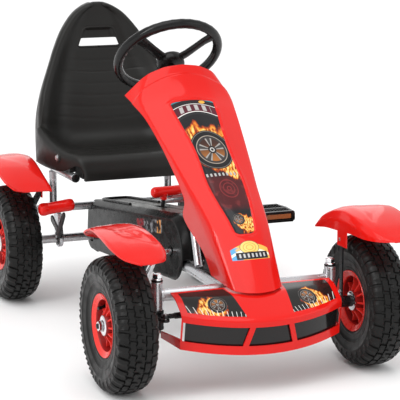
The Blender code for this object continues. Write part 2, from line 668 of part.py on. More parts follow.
def seat():
    """A bucket shell with a tapering back, a turned-down rim, a handle slot and feet for the rails."""
    rows = []
    for distance, height, half_width, forward, rise, out, back, down in smooth_rows(SEAT_STATIONS, 23):
        half = []
        for share in (0.0, 0.38, 0.66, 0.86, 1.0):
            lift = max(0.0, (share - 0.60) / 0.40) ** 1.5
            half.append((half_width * share, behind(distance - forward * lift), height + rise * lift))
        edge = Vector(half[-1])
        half.append(tuple(edge + Vector((out * 0.5 + 0.004, back * 0.25, -down * 0.10))))
        half.append(tuple(edge + Vector((out, back, -down))))
        mirror = [(-x, y, z) for x, y, z in reversed(half[1:])]
        rows.append(mirror + half)
    shell = sheet("seat", rows, SEAT_WALL, SEAT_BLACK, side=-1.0, even=False)
    slot = belt_outline([((-0.045, 0.561), 0.005), ((0.045, 0.561), 0.005), ((0.028, 0.593), 0.005),
                         ((-0.028, 0.593), 0.005)], 12)
    facing = Matrix.Translation((0, behind(0.872), 0)) @ Matrix.Rotation(math.pi / 2, 4, "X")
    cut(shell, plate("handle_slot", [slot], 0.10, facing))
    foot_start = RAIL_HEIGHT + RAIL_RADIUS + GAP
    for word, side in (("left", LEFT), ("right", RIGHT)):
        for place, near, far, top in (("front", 0.640, 0.700, 0.3485), ("rear", 0.735, 0.795, 0.3530)):
            weld(shell, block("seat_foot_%s_%s" % (place, word),
                              sided(side, RAIL_X - SEAT_FOOT_HALF, behind(near), foot_start),
                              sided(side, RAIL_X + SEAT_FOOT_HALF, behind(far), top)))


seat()


# ------------------------------------------------------------------ body shells
FAIRING_STATIONS = (
    # centre (behind, height), shoulder (x, behind, height), rear edge (x, behind, height)
    (-0.081, 0.1850, 0.050, -0.062, 0.1885, 0.057, 0.033, 0.1990),
    (-0.032, 0.2490, 0.056, -0.014, 0.2440, 0.062, 0.064, 0.2400),
    (0.017, 0.3060, 0.062, 0.034, 0.2990, 0.070, 0.143, 0.2900),
    (0.096, 0.3680, 0.070, 0.112, 0.3590, 0.0755, 0.131, 0.3350),
    (0.175, 0.4290, 0.080, 0.190, 0.4190, 0.086, 0.196, 0.4050),
    (0.254, 0.4880, 0.090, 0.268, 0.4760, 0.098, 0.274, 0.4660),
    (0.298, 0.5230, 0.094, 0.313, 0.5090, 0.107, 0.334, 0.4940),
    (0.332, 0.5730, 0.070, 0.341, 0.5560, 0.112, 0.373, 0.5090),
)


def fairing():
    """A channel over the steering column, closed in front and open behind."""
    rows = []
    for station in smooth_rows(FAIRING_STATIONS, 12):
        centre = Vector((0.0, behind(station[0]), station[1]))
        shoulder = Vector((station[2], behind(station[3]), station[4]))
        edge = Vector((station[5], behind(station[6]), station[7]))
        crown = Vector((shoulder.x * 0.55, (centre.y * 3 + shoulder.y) / 4, (centre.z * 3 + shoulder.z) / 4))
        bend = shoulder.lerp(edge, 0.25) + Vector((0.003, 0.0, 0.001))
        half = [crown, shoulder, bend, edge]
        mirror = [Vector((-point.x, point.y, point.z)) for point in reversed(half)]
        rows.append(mirror + [centre] + half)
    sheet("fairing", rows, 0.003, RED)


def bumper_front(x):
    """How far ahead of the front axle the bumper's upper rail is at this X."""
    return 0.135 - 1.80 * x * x


def bumper_sweep(x):
    """How far the bumper's front is lifted at this X: it dips in the middle and rises to the ends."""
    return 0.450 * x * x - 0.005


BUMPER_HALF = 0.164
BUMPER_WALL = 0.003
STRUT_HALF = 0.00525             # half the width of the posts between the bumper's windows


def bumper():
    """A sloping deck, a front with three windows and a lower lip that returns along the sides."""
    columns = [BUMPER_HALF * step / 6 for step in range(-6, 7)]
    rows = []
    for ahead, share, height in ((0.029, 0.0, 0.1885), (0.018, 0.4, 0.1830), (-0.0060, 1.0, 0.1560),
                                 (0.0, 1.0, 0.1490), (-0.0010, 1.0, 0.1380), (-0.0080, 1.0, 0.1000),
                                 (-0.0090, 1.0, 0.0840)):
        rows.append([(x, FRONT_AXLE_Y - ahead - share * bumper_front(x),
                      height + (bumper_sweep(x) if share == 1.0 else 0.0)) for x in columns])
    shell = sheet("bumper", rows, BUMPER_WALL, RED, side=-1.0)
    top_post = 0.039
    bottom_post = 0.050
    end = 0.161
    round_off = 0.004
    for name, corners in (
        ("right", ((-end, -end), (-bottom_post - STRUT_HALF, -top_post - STRUT_HALF))),
        ("middle", ((-bottom_post + STRUT_HALF, -top_post + STRUT_HALF),
                    (bottom_post - STRUT_HALF, top_post - STRUT_HALF))),
        ("left", ((bottom_post + STRUT_HALF, top_post + STRUT_HALF), (end, end))),
    ):
        spots = []
        for inward, (low, high) in zip((round_off, -round_off), corners):
            spots.append(((low + inward, 0.1010 + round_off + bumper_sweep(low)), round_off))
            spots.append(((high + inward, 0.1380 - round_off + bumper_sweep(high)), round_off))
        facing = Matrix.Translation((0, behind(-0.10), 0)) @ Matrix.Rotation(math.pi / 2, 4, "X")
        cut(shell, plate("window_" + name, [belt_outline(spots, 12)], 0.12, facing))
    for word, side in (("left", LEFT), ("right", RIGHT)):
        start = FRONT_AXLE_Y - bumper_front(BUMPER_HALF) + 0.0105
        arm = [
            (side * (BUMPER_HALF - BUMPER_WALL), start, 0.1000),
            (side * (BUMPER_HALF + 0.0010), start + 0.04, 0.1000),
            (side * (BUMPER_HALF + 0.0055), FRONT_AXLE_Y + 0.005, 0.1000),
        ]
        weld(shell, *[bar("lip_arm_%s_%d" % (word, index), near, far, 0.0035, 0.020)
                      for index, (near, far) in enumerate(zip(arm, arm[1:]))])


def bar(name, start, end, thickness, depth):
    """An upright flat bar between two points, overlapping a little past each end."""
    start = Vector(start)
    end = Vector(end)
    length = (end - start).length + thickness
    bm = bmesh.new()
    bmesh.ops.create_cube(bm, size=1.0)
    bmesh.ops.scale(bm, vec=(thickness, depth, length), verts=bm.verts)
    return from_bmesh(name, bm, None, along(start, end))


def bumper_grille():
    """The dark insert behind the bumper's windows."""
    columns = [0.155 * step / 5 for step in range(-5, 6)]
    rows = []
    for set_back, height in ((0.0080, 0.1400), (0.0155, 0.0960)):
        rows.append([(x, FRONT_AXLE_Y - bumper_front(x) + set_back, height + bumper_sweep(x))
                     for x in columns])
    sheet("bumper_grille", rows, 0.002, DARK_INSERT)


MUDGUARD_FRONT = (
    # rearward of the axle, inner x, outer x, height of the inner edge, of the crown, of the outer edge
    (-0.155, 0.240, 0.266, 0.2765, 0.2780, 0.2775),
    (-0.138, 0.217, 0.292, 0.2755, 0.2870, 0.2850),
    (-0.105, 0.202, 0.306, 0.2750, 0.3010, 0.2980),
    (-0.050, 0.200, 0.309, 0.2750, 0.3135, 0.3105),
    (0.000, 0.200, 0.309, 0.2720, 0.3180, 0.3150),
    (0.035, 0.200, 0.309, 0.2700, 0.3140, 0.3070),
    (0.062, 0.200, 0.301, 0.2680, 0.3050, 0.2930),
    (0.088, 0.200, 0.262, 0.2640, 0.2900, 0.2780),
    (0.111, 0.200, 0.222, 0.2600, 0.2660, 0.2630),
)
MUDGUARD_REAR = (
    (-0.154, 0.192, 0.278, 0.2700, 0.2730, 0.2800),
    (-0.132, 0.190, 0.292, 0.2710, 0.2900, 0.2930),
    (-0.095, 0.190, 0.298, 0.2740, 0.3090, 0.3080),
    (-0.045, 0.190, 0.300, 0.2860, 0.3260, 0.3230),
    (0.000, 0.190, 0.300, 0.2960, 0.3310, 0.3280),
    (0.050, 0.190, 0.300, 0.2900, 0.3250, 0.3180),
    (0.100, 0.192, 0.298, 0.2760, 0.3040, 0.2960),
    (0.140, 0.198, 0.286, 0.2620, 0.2780, 0.2720),
    (0.165, 0.216, 0.266, 0.2560, 0.2600, 0.2580),
)
GUARD_WALL = 0.003


def mudguard(name, side, stations, axle_behind, leg):
    """An arched guard with an upright inner skirt, and a flat leg under the skirt for its stay."""
    rows = []
    for reach, inner, outer, inner_z, crown, outer_z in smooth_rows(stations, 13):
        width = outer - inner
        deep = crown - inner_z
        row = ((inner, inner_z), (inner, inner_z + 0.50 * deep), (inner + 0.07 * width, crown - 0.14 * deep),
               (inner + 0.26 * width, crown), (inner + 0.70 * width, crown),
               (inner + 0.92 * width, outer_z * 0.6 + crown * 0.4), (outer, outer_z))
        rows.append([sided(side, x, behind(axle_behind + reach), z) for x, z in row])
    guard = sheet(name, rows, GUARD_WALL, RED, side=float(side))
    near, far, bottom, top = leg
    inner = stations[4][1]
    weld(guard, block(name + "_leg", sided(side, inner + 0.0003, behind(near), bottom),
                      sided(side, inner + GUARD_WALL - 0.0003, behind(far), top)))
    return guard


def mudguards():
    """All four guards, and the straps that hold them beside the front hubs and the rear tube."""
    for word, side in (("left", LEFT), ("right", RIGHT)):
        kingpin = (side * KINGPIN_X, FRONT_AXLE_Y, HEAD_TUBE_TOP)
        front = mudguard("mudguard_front_" + word, side, MUDGUARD_FRONT, 0.0, (-0.029, 0.011, 0.2430, 0.2800))
        pivot(front, kingpin)
        strap = block("mudguard_stay_front_" + word,
                      sided(side, 0.2034, FRONT_AXLE_Y - 0.010, AXLE_HEIGHT + 0.0120),
                      sided(side, 0.2069, FRONT_AXLE_Y + 0.010, 0.2680), BLACK_STEEL)
        pivot(strap, kingpin)
        mudguard("mudguard_rear_" + word, side, MUDGUARD_REAR, WHEELBASE, (0.705, 0.727, 0.2420, 0.2870))
        outline = belt_outline([((0.716, 0.2520), 0.0095), ((CROSS_BEHIND, CROSS_HEIGHT), 0.0125)], 16)
        plate("mudguard_stay_rear_" + word, [outline], 0.0030, side_view(side * 0.1948), BLACK_STEEL)


fairing()
bumper()
bumper_grille()
mudguards()


# ------------------------------------------------------------------ hand controls
BRAKE_PIVOT = Vector((-0.1555, behind(0.710), 0.150))
BRAKE_PIN = 0.0040
GEAR_PIVOT = Vector((0.0, behind(0.456), 0.2300))


def brake():
    """A lever on a pin beside the rear axle, with a moulded grip across its top."""
    arm = belt_outline([((0.710, 0.150), 0.006), ((CROSS_BEHIND - 0.016, CROSS_HEIGHT - 0.022), 0.008)], 14)
    plate_x = BRAKE_PIVOT.x + 0.0075
    bracket = plate("brake_bracket", [arm], 0.004, side_view(plate_x), BLACK_STEEL)
    pin_end = BRAKE_PIVOT - Vector((0.0065, 0.0, 0.0))
    weld(bracket, rod("brake_pin", (plate_x, BRAKE_PIVOT.y, BRAKE_PIVOT.z), pin_end, BRAKE_PIN, sides=10))
    top = (0.660, 0.2080)
    outline = belt_outline([((0.710, 0.150), 0.0095), (top, 0.0060)], 14)
    lever = plate("brake_lever", [outline], 0.0045, side_view(BRAKE_PIVOT.x), BLACK_STEEL)
    through = Vector((0.02, 0.0, 0.0))
    cut(lever, rod("brake_bore", BRAKE_PIVOT - through, BRAKE_PIVOT + through, BRAKE_PIN + 0.0006, sides=14))
    grip = rod("brake_grip", (-0.213, behind(top[0]), 0.2230), (-0.132, behind(top[0]), 0.2315), 0.0125,
               RED, sides=12, tip=0.0115)
    cut(grip, block("grip_socket", (BRAKE_PIVOT.x - 0.0028, behind(0.640), 0.190),
                    (BRAKE_PIVOT.x + 0.0028, behind(0.690), 0.2155)))
    for piece in (lever, grip):
        pivot(piece, BRAKE_PIVOT)


def gear():
    """A short shift lever through the cover's slot with a T-shaped knob."""
    foot = GEAR_PIVOT
    head = Vector((0.0, behind(0.443), 0.2720))
    lever = rod("gear_lever", foot, head, 0.0045, BLACK_STEEL, sides=10)
    half_boss = Vector((0.010, 0.0, 0.0))
    weld(lever, rod("gear_boss", foot - half_boss, foot + half_boss, 0.0065, sides=12))
    lift = (head - foot).normalized()
    neck = head + lift * GAP
    knob = rod("gear_knob", neck, neck + lift * 0.016, 0.0080, RED, sides=12)
    weld(knob, rod("gear_handle", neck + Vector((-0.028, 0, 0.0140)), neck + Vector((0.056, 0, 0.0180)),
                   0.0120, sides=12, tip=0.0100))
    for piece in (lever, knob):
        pivot(piece, GEAR_PIVOT)


brake()
gear()
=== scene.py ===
"""Looks of a child's pedal go kart: moulded red shells, treaded tyres, bucket seat, chain drive and controls.

Metres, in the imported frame: the kart faces -Y, its left side is +X, and it stands on Z = 0. Lengths named as
"behind" are measured rearward from the front axle.
"""
import math

import bmesh
import bpy
import json
import numpy as np
from mathutils import Matrix, Vector


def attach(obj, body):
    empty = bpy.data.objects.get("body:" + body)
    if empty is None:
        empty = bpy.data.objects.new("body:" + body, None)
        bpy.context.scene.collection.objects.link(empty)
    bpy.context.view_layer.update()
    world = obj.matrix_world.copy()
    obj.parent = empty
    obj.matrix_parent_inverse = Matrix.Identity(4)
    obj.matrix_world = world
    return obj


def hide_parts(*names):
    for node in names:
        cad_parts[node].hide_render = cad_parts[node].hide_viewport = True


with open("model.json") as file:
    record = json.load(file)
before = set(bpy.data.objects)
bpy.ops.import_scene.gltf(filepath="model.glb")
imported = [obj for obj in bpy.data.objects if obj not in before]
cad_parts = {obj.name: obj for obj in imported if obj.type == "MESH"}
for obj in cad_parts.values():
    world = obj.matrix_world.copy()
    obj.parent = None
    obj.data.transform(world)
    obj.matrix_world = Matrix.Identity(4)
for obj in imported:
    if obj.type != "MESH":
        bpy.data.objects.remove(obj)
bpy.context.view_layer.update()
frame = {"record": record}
JOINTS = {joint["name"]: joint for joint in frame["record"]["behaviour"]["joints"]}


def joint_place(name):
    return Vector(JOINTS[name]["pos_m"])


FRONT_Y = joint_place("knuckle_left_turn").y
REAR_Y = joint_place("rear_axle_spin").y
AXLE_Z = joint_place("rear_axle_spin").z
WHEELBASE = REAR_Y - FRONT_Y
KINGPIN_X = joint_place("knuckle_left_turn").x
LEFT = 1
RIGHT = -1
SIDES = (("left", LEFT), ("right", RIGHT))


def behind(distance):
    return FRONT_Y + distance


# ------------------------------------------------------------------ procedural finishes
def number(tree, operation, first, second=0.0):
    """A Math node between sockets or numbers."""
    made = tree.nodes.new("ShaderNodeMath")
    made.operation = operation
    for place, value in enumerate((first, second)):
        if isinstance(value, (int, float)):
            made.inputs[place].default_value = value
        else:
            tree.links.new(value, made.inputs[place])
    return made.outputs[0]


def times(tree, first, second):
    return number(tree, "MULTIPLY", first, second)


def plus(tree, first, second):
    return number(tree, "ADD", first, second)


def minus(tree, first, second):
    return number(tree, "SUBTRACT", first, second)


def from_spot(tree, across, along, spot):
    """The offsets from a spot of a decal and the distance to it."""
    x = minus(tree, across, spot[0])
    y = minus(tree, along, spot[1])
    return x, y, number(tree, "SQRT", plus(tree, times(tree, x, x), times(tree, y, y)))


def step(tree, value, low, high, start=0.0, end=1.0):
    """A smooth change from start to end while the value goes from low to high."""
    made = tree.nodes.new("ShaderNodeMapRange")
    made.interpolation_type = "SMOOTHSTEP"
    for place, setting in enumerate((value, low, high, start, end)):
        if isinstance(setting, (int, float)):
            made.inputs[place].default_value = setting
        else:
            tree.links.new(setting, made.inputs[place])
    return made.outputs[0]


def band(tree, value, low, high, soft):
    """One between low and high, nought outside."""
    rise = step(tree, value, low - soft, low + soft)
    fall = step(tree, value, high - soft, high + soft, 1.0, 0.0)
    return times(tree, rise, fall)


def grain(tree, place, scale, detail=3.0, stretch=None):
    if stretch:
        mapping = tree.nodes.new("ShaderNodeMapping")
        mapping.inputs["Scale"].default_value = stretch
        tree.links.new(place, mapping.inputs["Vector"])
        place = mapping.outputs["Vector"]
    made = tree.nodes.new("ShaderNodeTexNoise")
    made.inputs["Scale"].default_value = scale
    made.inputs["Detail"].default_value = detail
    tree.links.new(place, made.inputs["Vector"])
    return made.outputs[0]


def blended(tree, factor, first, second):
    """Mixes two colours, each a socket or an (r, g, b)."""
    made = tree.nodes.new("ShaderNodeMix")
    made.data_type = "RGBA"
    if isinstance(factor, (int, float)):
        made.inputs[0].default_value = factor
    else:
        tree.links.new(factor, made.inputs[0])
    for place, value in ((6, first), (7, second)):
        if isinstance(value, tuple):
            made.inputs[place].default_value = (*value, 1.0)
        else:
            tree.links.new(value, made.inputs[place])
    return made.outputs[2]


def surface(name, colour, roughness, metallic=0.0, coat=0.0, tint=0.10, wear=0.05, relief=(900.0, 0.05),
            pattern=None, shine=0.5):
    """A finish with drifting colour, uneven gloss and a fine grain; pattern can paint over its colour."""
    made = bpy.data.materials.new(name)
    made.use_nodes = True
    tree = made.node_tree
    shader = tree.nodes["Principled BSDF"]
    shader.inputs["Metallic"].default_value = metallic
    shader.inputs["Coat Weight"].default_value = coat
    shader.inputs["Coat Roughness"].default_value = 0.06
    shader.inputs["Specular IOR Level"].default_value = shine
    place = tree.nodes.new("ShaderNodeTexCoord").outputs["Object"]
    drift = grain(tree, place, 11.0, 4.0)
    deep = tuple(part * (1.0 - tint) for part in colour)
    pale = tuple(min(1.0, part * (1.0 + tint) + 0.004 * tint) for part in colour)
    tone = blended(tree, drift, deep, pale)
    if pattern:
        tone = pattern(tree, tone)
    tree.links.new(tone, shader.inputs["Base Color"])
    scuff = grain(tree, place, 55.0, 6.0)
    tree.links.new(step(tree, scuff, 0.30, 0.75, roughness - wear, roughness + wear),
                   shader.inputs["Roughness"])
    bump = tree.nodes.new("ShaderNodeBump")
    bump.inputs["Strength"].default_value = relief[1]
    bump.inputs["Distance"].default_value = 0.0004
    tree.links.new(grain(tree, place, relief[0], 4.0), bump.inputs["Height"])
    tree.links.new(bump.outputs["Normal"], shader.inputs["Normal"])
    return made


def decal_place(tree):
    """The two coordinates, in metres, that a shell's decal map carries."""
    uv = tree.nodes.new("ShaderNodeUVMap")
    uv.uv_map = "decal"
    split = tree.nodes.new("ShaderNodeSeparateXYZ")
    tree.links.new(uv.outputs["UV"], split.inputs[0])
    return split.outputs[0], split.outputs[1], uv.outputs["UV"]


def road_wheel(tree, tone, across, along, centre, radius):
    """A drawn wheel: a dark tyre with a thin pale edge, a bright ring and paired spokes."""
    x, y, reach = from_spot(tree, across, along, centre)
    angle = number(tree, "ARCTAN2", y, x)
    soft = radius * 0.015
    tone = blended(tree, step(tree, reach, radius - soft, radius + soft, 1.0, 0.0), tone,
                   (0.010, 0.010, 0.011))
    tone = blended(tree, band(tree, reach, radius * 0.935, radius * 0.955, soft), tone, (0.22, 0.20, 0.18))
    tone = blended(tree, band(tree, reach, radius * 0.70, radius * 0.735, soft), tone, (0.42, 0.36, 0.30))
    inside = band(tree, reach, radius * 0.20, radius * 0.70, soft)
    well = blended(tree, step(tree, y, -radius * 0.6, radius * 0.4), (0.36, 0.13, 0.03),
                   (0.045, 0.018, 0.012))
    tone = blended(tree, inside, tone, well)
    wave = number(tree, "SINE", times(tree, angle, 5.0))
    tone = blended(tree, times(tree, step(tree, wave, 0.00, 0.15), inside), tone, (0.050, 0.046, 0.044))
    tone = blended(tree, times(tree, band(tree, wave, 0.15, 0.72, 0.10), inside), tone,
                   (0.34, 0.32, 0.30))
    tone = blended(tree, band(tree, reach, radius * 0.60, radius * 0.70, soft), tone, (0.035, 0.032, 0.032))
    tone = blended(tree, step(tree, reach, radius * 0.15, radius * 0.19, 1.0, 0.0), tone,
                   (0.020, 0.019, 0.019))
    return blended(tree, band(tree, reach, radius * 0.07, radius * 0.11, soft), tone, (0.62, 0.60, 0.57))


def flames(tree, tone, across, along, centre, radius, place, heading=0.0, spread=1.0):
    """A ragged ring of fire round a drawn wheel, fullest towards one heading."""
    x, y, reach = from_spot(tree, across, along, centre)
    lean = plus(tree, times(tree, x, math.cos(heading)),
                times(tree, y, math.sin(heading)))
    ragged = grain(tree, place, 1.5 / radius, 6.0, stretch=(1.0, 0.55, 1.0))
    tongues = times(tree, minus(tree, ragged, 0.5), radius * 1.5)
    edge = minus(tree, plus(tree, reach, tongues), times(tree, lean, spread * 0.55))
    heat = step(tree, edge, radius * 0.95, radius * 1.38, 1.0, 0.0)
    streaks = grain(tree, place, 6.0 / radius, 5.0, stretch=(1.0, 0.35, 1.0))
    heat = times(tree, heat, step(tree, streaks, 0.34, 0.56, 0.35, 1.0))
    tone = blended(tree, step(tree, heat, 0.12, 0.40), tone, (0.22, 0.022, 0.006))
    tone = blended(tree, step(tree, heat, 0.36, 0.70), tone, (0.58, 0.130, 0.012))
    tone = blended(tree, step(tree, heat, 0.64, 0.92), tone, (0.82, 0.40, 0.055))
    return blended(tree, step(tree, heat, 0.93, 1.00), tone, (0.90, 0.62, 0.20))


PANEL_LENGTH = 0.567            # of the fairing, measured along its middle
PRINT_EDGE = 0.0004             # softness of a printed edge
WHEEL_SPOT = (0.0, 0.554 * PANEL_LENGTH)
FAINT_SPOT = (0.002, 0.405 * PANEL_LENGTH)
SMALL_SPOT = (-0.004, 0.292 * PANEL_LENGTH)


def panel_art(tree, red):
    """Two burning wheels on black under curved bands, inside the sunk panel."""
    across, along, place = decal_place(tree)
    tone = blended(tree, 0.0, (0.010, 0.010, 0.012), (0.0, 0.0, 0.0))
    low = band(tree, along, 0.335 * PANEL_LENGTH, 0.452 * PANEL_LENGTH, 0.010)
    ember = grain(tree, place, 70.0, 6.0)
    tone = blended(tree, low, tone, (0.070, 0.008, 0.010))
    tone = blended(tree, times(tree, low, step(tree, ember, 0.50, 0.72)), tone, (0.16, 0.020, 0.022))
    tone = faint_rings(tree, tone, across, along)
    tone = flames(tree, tone, across, along, WHEEL_SPOT, 0.0400, place, 1.8, 0.30)
    tone = flames(tree, tone, across, along, (0.020, 0.500 * PANEL_LENGTH), 0.0200, place, -0.5, 1.0)
    tone = road_wheel(tree, tone, across, along, WHEEL_SPOT, 0.0425)
    tone = flames(tree, tone, across, along, SMALL_SPOT, 0.0125, place, -0.7, 1.2)
    tone = road_wheel(tree, tone, across, along, SMALL_SPOT, 0.0120)
    bow = times(tree, times(tree, across, across), 7.5)
    arch = plus(tree, along, bow)
    edges = (
        (0.790, 0.840, (0.030, 0.190, 0.230)), (0.757, 0.787, (0.016, 0.012, 0.014)),
        (0.712, 0.757, (0.085, 0.012, 0.022)), (0.756, 0.7595, (0.80, 0.79, 0.76)),
        (0.709, 0.7125, (0.80, 0.79, 0.76)), (0.697, 0.7045, (0.02, 0.02, 0.022)),
    )
    for low_edge, high_edge, colour in edges:
        tone = blended(tree, band(tree, arch, low_edge * PANEL_LENGTH, high_edge * PANEL_LENGTH, 0.0003),
                       tone, colour)
    tone = tooth_row(tree, tone, across, arch, 0.7180 * PANEL_LENGTH, 0.7510 * PANEL_LENGTH, 380.0)
    tone = tooth_row(tree, tone, across, along, 0.4530 * PANEL_LENGTH, 0.4640 * PANEL_LENGTH, 760.0)
    sun = from_spot(tree, across, along, (0.021, 0.770 * PANEL_LENGTH))[2]
    tone = blended(tree, step(tree, sun, 0.0064, 0.0070, 1.0, 0.0), tone, (0.86, 0.40, 0.05))
    mask = tree.nodes.new("ShaderNodeUVMap")
    mask.uv_map = "panel"
    split = tree.nodes.new("ShaderNodeSeparateXYZ")
    tree.links.new(mask.outputs["UV"], split.inputs[0])
    return blended(tree, step(tree, split.outputs[0], 0.0012, 0.0018), banner_art(tree, red), tone)


def tooth_row(tree, tone, across, along, low, high, rate):
    """A row of plain pale bars between two heights."""
    bars = step(tree, number(tree, "SINE", times(tree, across, rate)), -0.10, 0.15)
    inside = times(tree, band(tree, along, low, high, 0.0003), band(tree, across, -0.034, 0.034, 0.0004))
    return blended(tree, times(tree, bars, inside), tone, (0.42, 0.41, 0.40))


def faint_rings(tree, tone, across, along):
    """A wheel that hardly shows in the dark red part of the panel."""
    reach = from_spot(tree, across, along, FAINT_SPOT)[2]
    for low, high in ((0.0172, 0.0190), (0.0105, 0.0120), (0.0030, 0.0048)):
        tone = blended(tree, band(tree, reach, low, high, PRINT_EDGE), tone, (0.20, 0.022, 0.024))
    return tone


def banner_art(tree, tone):
    """A small badge: an oval sun between orange and blue wings over a dark stripe."""
    across, along, place = decal_place(tree)
    middle = 0.172 * PANEL_LENGTH
    y = minus(tree, along, middle)
    flat = times(tree, times(tree, across, across), 0.62)
    oval = number(tree, "SQRT", plus(tree, flat, times(tree, y, y)))
    bow = plus(tree, along, times(tree, times(tree, across, across), 9.0))
    wings = times(tree, band(tree, across, -0.0385, 0.0385, 0.0004),
                  times(tree, step(tree, bow, 0.1885 * PANEL_LENGTH, 0.1895 * PANEL_LENGTH, 1.0, 0.0),
                        step(tree, along, 0.124 * PANEL_LENGTH, 0.125 * PANEL_LENGTH)))
    swirl = plus(tree, grain(tree, place, 45.0, 4.0), times(tree, across, -5.0))
    fire = blended(tree, step(tree, swirl, 0.50, 0.62), (0.86, 0.46, 0.08), (0.10, 0.36, 0.62))
    fire = blended(tree, band(tree, bow, 0.158 * PANEL_LENGTH, 0.168 * PANEL_LENGTH, 0.0005), fire,
                   (0.92, 0.86, 0.66))
    tone = blended(tree, wings, tone, fire)
    tone = blended(tree, step(tree, oval, 0.0155, 0.0160, 1.0, 0.0), tone, (0.10, 0.14, 0.10))
    tone = blended(tree, step(tree, oval, 0.0145, 0.0150, 1.0, 0.0), tone, (0.92, 0.60, 0.16))
    tone = blended(tree, band(tree, oval, 0.0098, 0.0106, 0.0003), tone, (0.30, 0.16, 0.03))
    tone = blended(tree, band(tree, oval, 0.0052, 0.0060, 0.0003), tone, (0.30, 0.16, 0.03))
    stripe = times(tree, band(tree, across, -0.0300, 0.0345, 0.0004),
                   band(tree, along, 0.126 * PANEL_LENGTH, 0.153 * PANEL_LENGTH, 0.0004))
    tone = blended(tree, stripe, tone, (0.012, 0.012, 0.016))
    bars = step(tree, number(tree, "SINE", times(tree, across, 760.0)), 0.0, 0.3)
    inside = times(tree, band(tree, across, -0.0260, 0.0305, 0.0004),
                   band(tree, along, 0.1325 * PANEL_LENGTH, 0.1470 * PANEL_LENGTH, 0.0004))
    return blended(tree, times(tree, bars, inside), tone, (0.50, 0.50, 0.49))


def deck_art(tree, tone):
    """A dark patch on each end of the deck: a wheel in flames with white ticks along the front."""
    across, along, place = decal_place(tree)
    x = number(tree, "ABSOLUTE", across)
    inner = plus(tree, x, times(tree, along, 0.15))
    bow = plus(tree, along, times(tree, times(tree, x, x), 1.9))
    patch = times(tree, band(tree, along, 0.006, 0.2, 0.0006), step(tree, bow, 0.1050, 0.1062, 1.0, 0.0))
    patch = times(tree, patch, step(tree, inner, 0.0610, 0.0618))
    patch = times(tree, patch, step(tree, x, 0.1515, 0.1525, 1.0, 0.0))
    art = blended(tree, 0.0, (0.012, 0.011, 0.010), (0.0, 0.0, 0.0))
    art = flames(tree, art, x, along, (0.092, 0.056), 0.0195, place, 0.45, 0.8)
    art = road_wheel(tree, art, x, along, (0.092, 0.056), 0.0185)
    lean = plus(tree, x, times(tree, along, times(tree, minus(tree, x, 0.105), 9.0)))
    ticks = step(tree, number(tree, "SINE", times(tree, lean, 420.0)), 0.90, 0.97)
    art = blended(tree, times(tree, ticks, band(tree, bow, 0.0860, 0.1035, 0.0006)), art,
                  (0.80, 0.79, 0.75))
    return blended(tree, patch, tone, art)


def cover_art(tree, tone):
    """A slanted red, white and orange flash on the cover's side."""
    across, along, place = decal_place(tree)
    rise = minus(tree, along, times(tree, across, -0.16))
    frame_mask = times(tree, band(tree, across, 0.315, 0.470, 0.001), band(tree, rise, 0.276, 0.304, 0.0008))
    ragged = grain(tree, place, 70.0, 4.0)
    art = blended(tree, step(tree, ragged, 0.46, 0.60), (0.012, 0.012, 0.013), (0.20, 0.20, 0.21))
    art = blended(tree, times(tree, band(tree, across, 0.425, 0.470, 0.004),
                              step(tree, ragged, 0.40, 0.52)), art, (0.20, 0.012, 0.018))
    art = blended(tree, times(tree, band(tree, across, 0.322, 0.345, 0.003),
                              step(tree, ragged, 0.44, 0.54)), art, (0.62, 0.26, 0.07))
    return blended(tree, frame_mask, tone, art)


PAINT = (0.66, 0.009, 0.006)
GLOSS = {"coat": 0.36, "tint": 0.05, "wear": 0.030, "relief": (420.0, 0.02), "shine": 0.10}
RED = surface("red_gloss", PAINT, 0.20, **GLOSS)
FAIRING_RED = surface("red_gloss_printed", PAINT, 0.20, pattern=panel_art, **GLOSS)
RED_DECK = surface("red_gloss_deck", PAINT, 0.20, pattern=deck_art, **GLOSS)
RIM_RED = surface("rim_red", (0.26, 0.007, 0.006), 0.34, coat=0.1, tint=0.16, wear=0.07,
                  relief=(700.0, 0.06), shine=0.25)
RIM_LIP = surface("rim_lip", (0.74, 0.030, 0.022), 0.26, coat=0.2, tint=0.10, wear=0.05,
                  relief=(700.0, 0.03), shine=0.25)
RUBBER = surface("tyre_rubber", (0.006, 0.0058, 0.0056), 0.40, tint=0.45, wear=0.12, relief=(1300.0, 0.30),
                 shine=0.20)
SEAT = surface("seat_grained", (0.011, 0.0105, 0.0095), 0.40, tint=0.22, wear=0.07, relief=(2200.0, 0.40),
               shine=0.24)
GRIP = surface("moulded_black", (0.005, 0.005, 0.005), 0.24, tint=0.25, wear=0.08, relief=(1500.0, 0.10),
               shine=0.26)
COVER = surface("cover_gloss", (0.007, 0.007, 0.007), 0.26, tint=0.20, wear=0.06, relief=(600.0, 0.03),
                pattern=cover_art, shine=0.10)
COVER_TOP = surface("cover_satin", (0.030, 0.030, 0.024), 0.34, tint=0.16, wear=0.08, relief=(1600.0, 0.20),
                    shine=0.30)
SILVER = surface("silver_coat", (0.60, 0.61, 0.63), 0.30, metallic=0.85, tint=0.06, wear=0.07,
                 relief=(1400.0, 0.06))
CHROME = surface("chrome_plate", (0.78, 0.78, 0.80), 0.13, metallic=1.0, tint=0.05, wear=0.05,
                 relief=(500.0, 0.02))
ZINC = surface("zinc_plate", (0.52, 0.52, 0.53), 0.34, metallic=1.0, tint=0.14, wear=0.10,
               relief=(1200.0, 0.10))
BLACK_STEEL = surface("black_coat", (0.010, 0.010, 0.011), 0.34, tint=0.25, wear=0.10, relief=(1500.0, 0.12),
                      shine=0.34)
SMOKED = surface("smoked_gloss", (0.008, 0.007, 0.007), 0.10, coat=0.25, tint=0.25, wear=0.04,
                 relief=(300.0, 0.02),
                 shine=0.22)
AMBER = surface("amber_reflector", (0.34, 0.110, 0.035), 0.22, coat=0.3, tint=0.20, wear=0.05,
                relief=(700.0, 0.35))


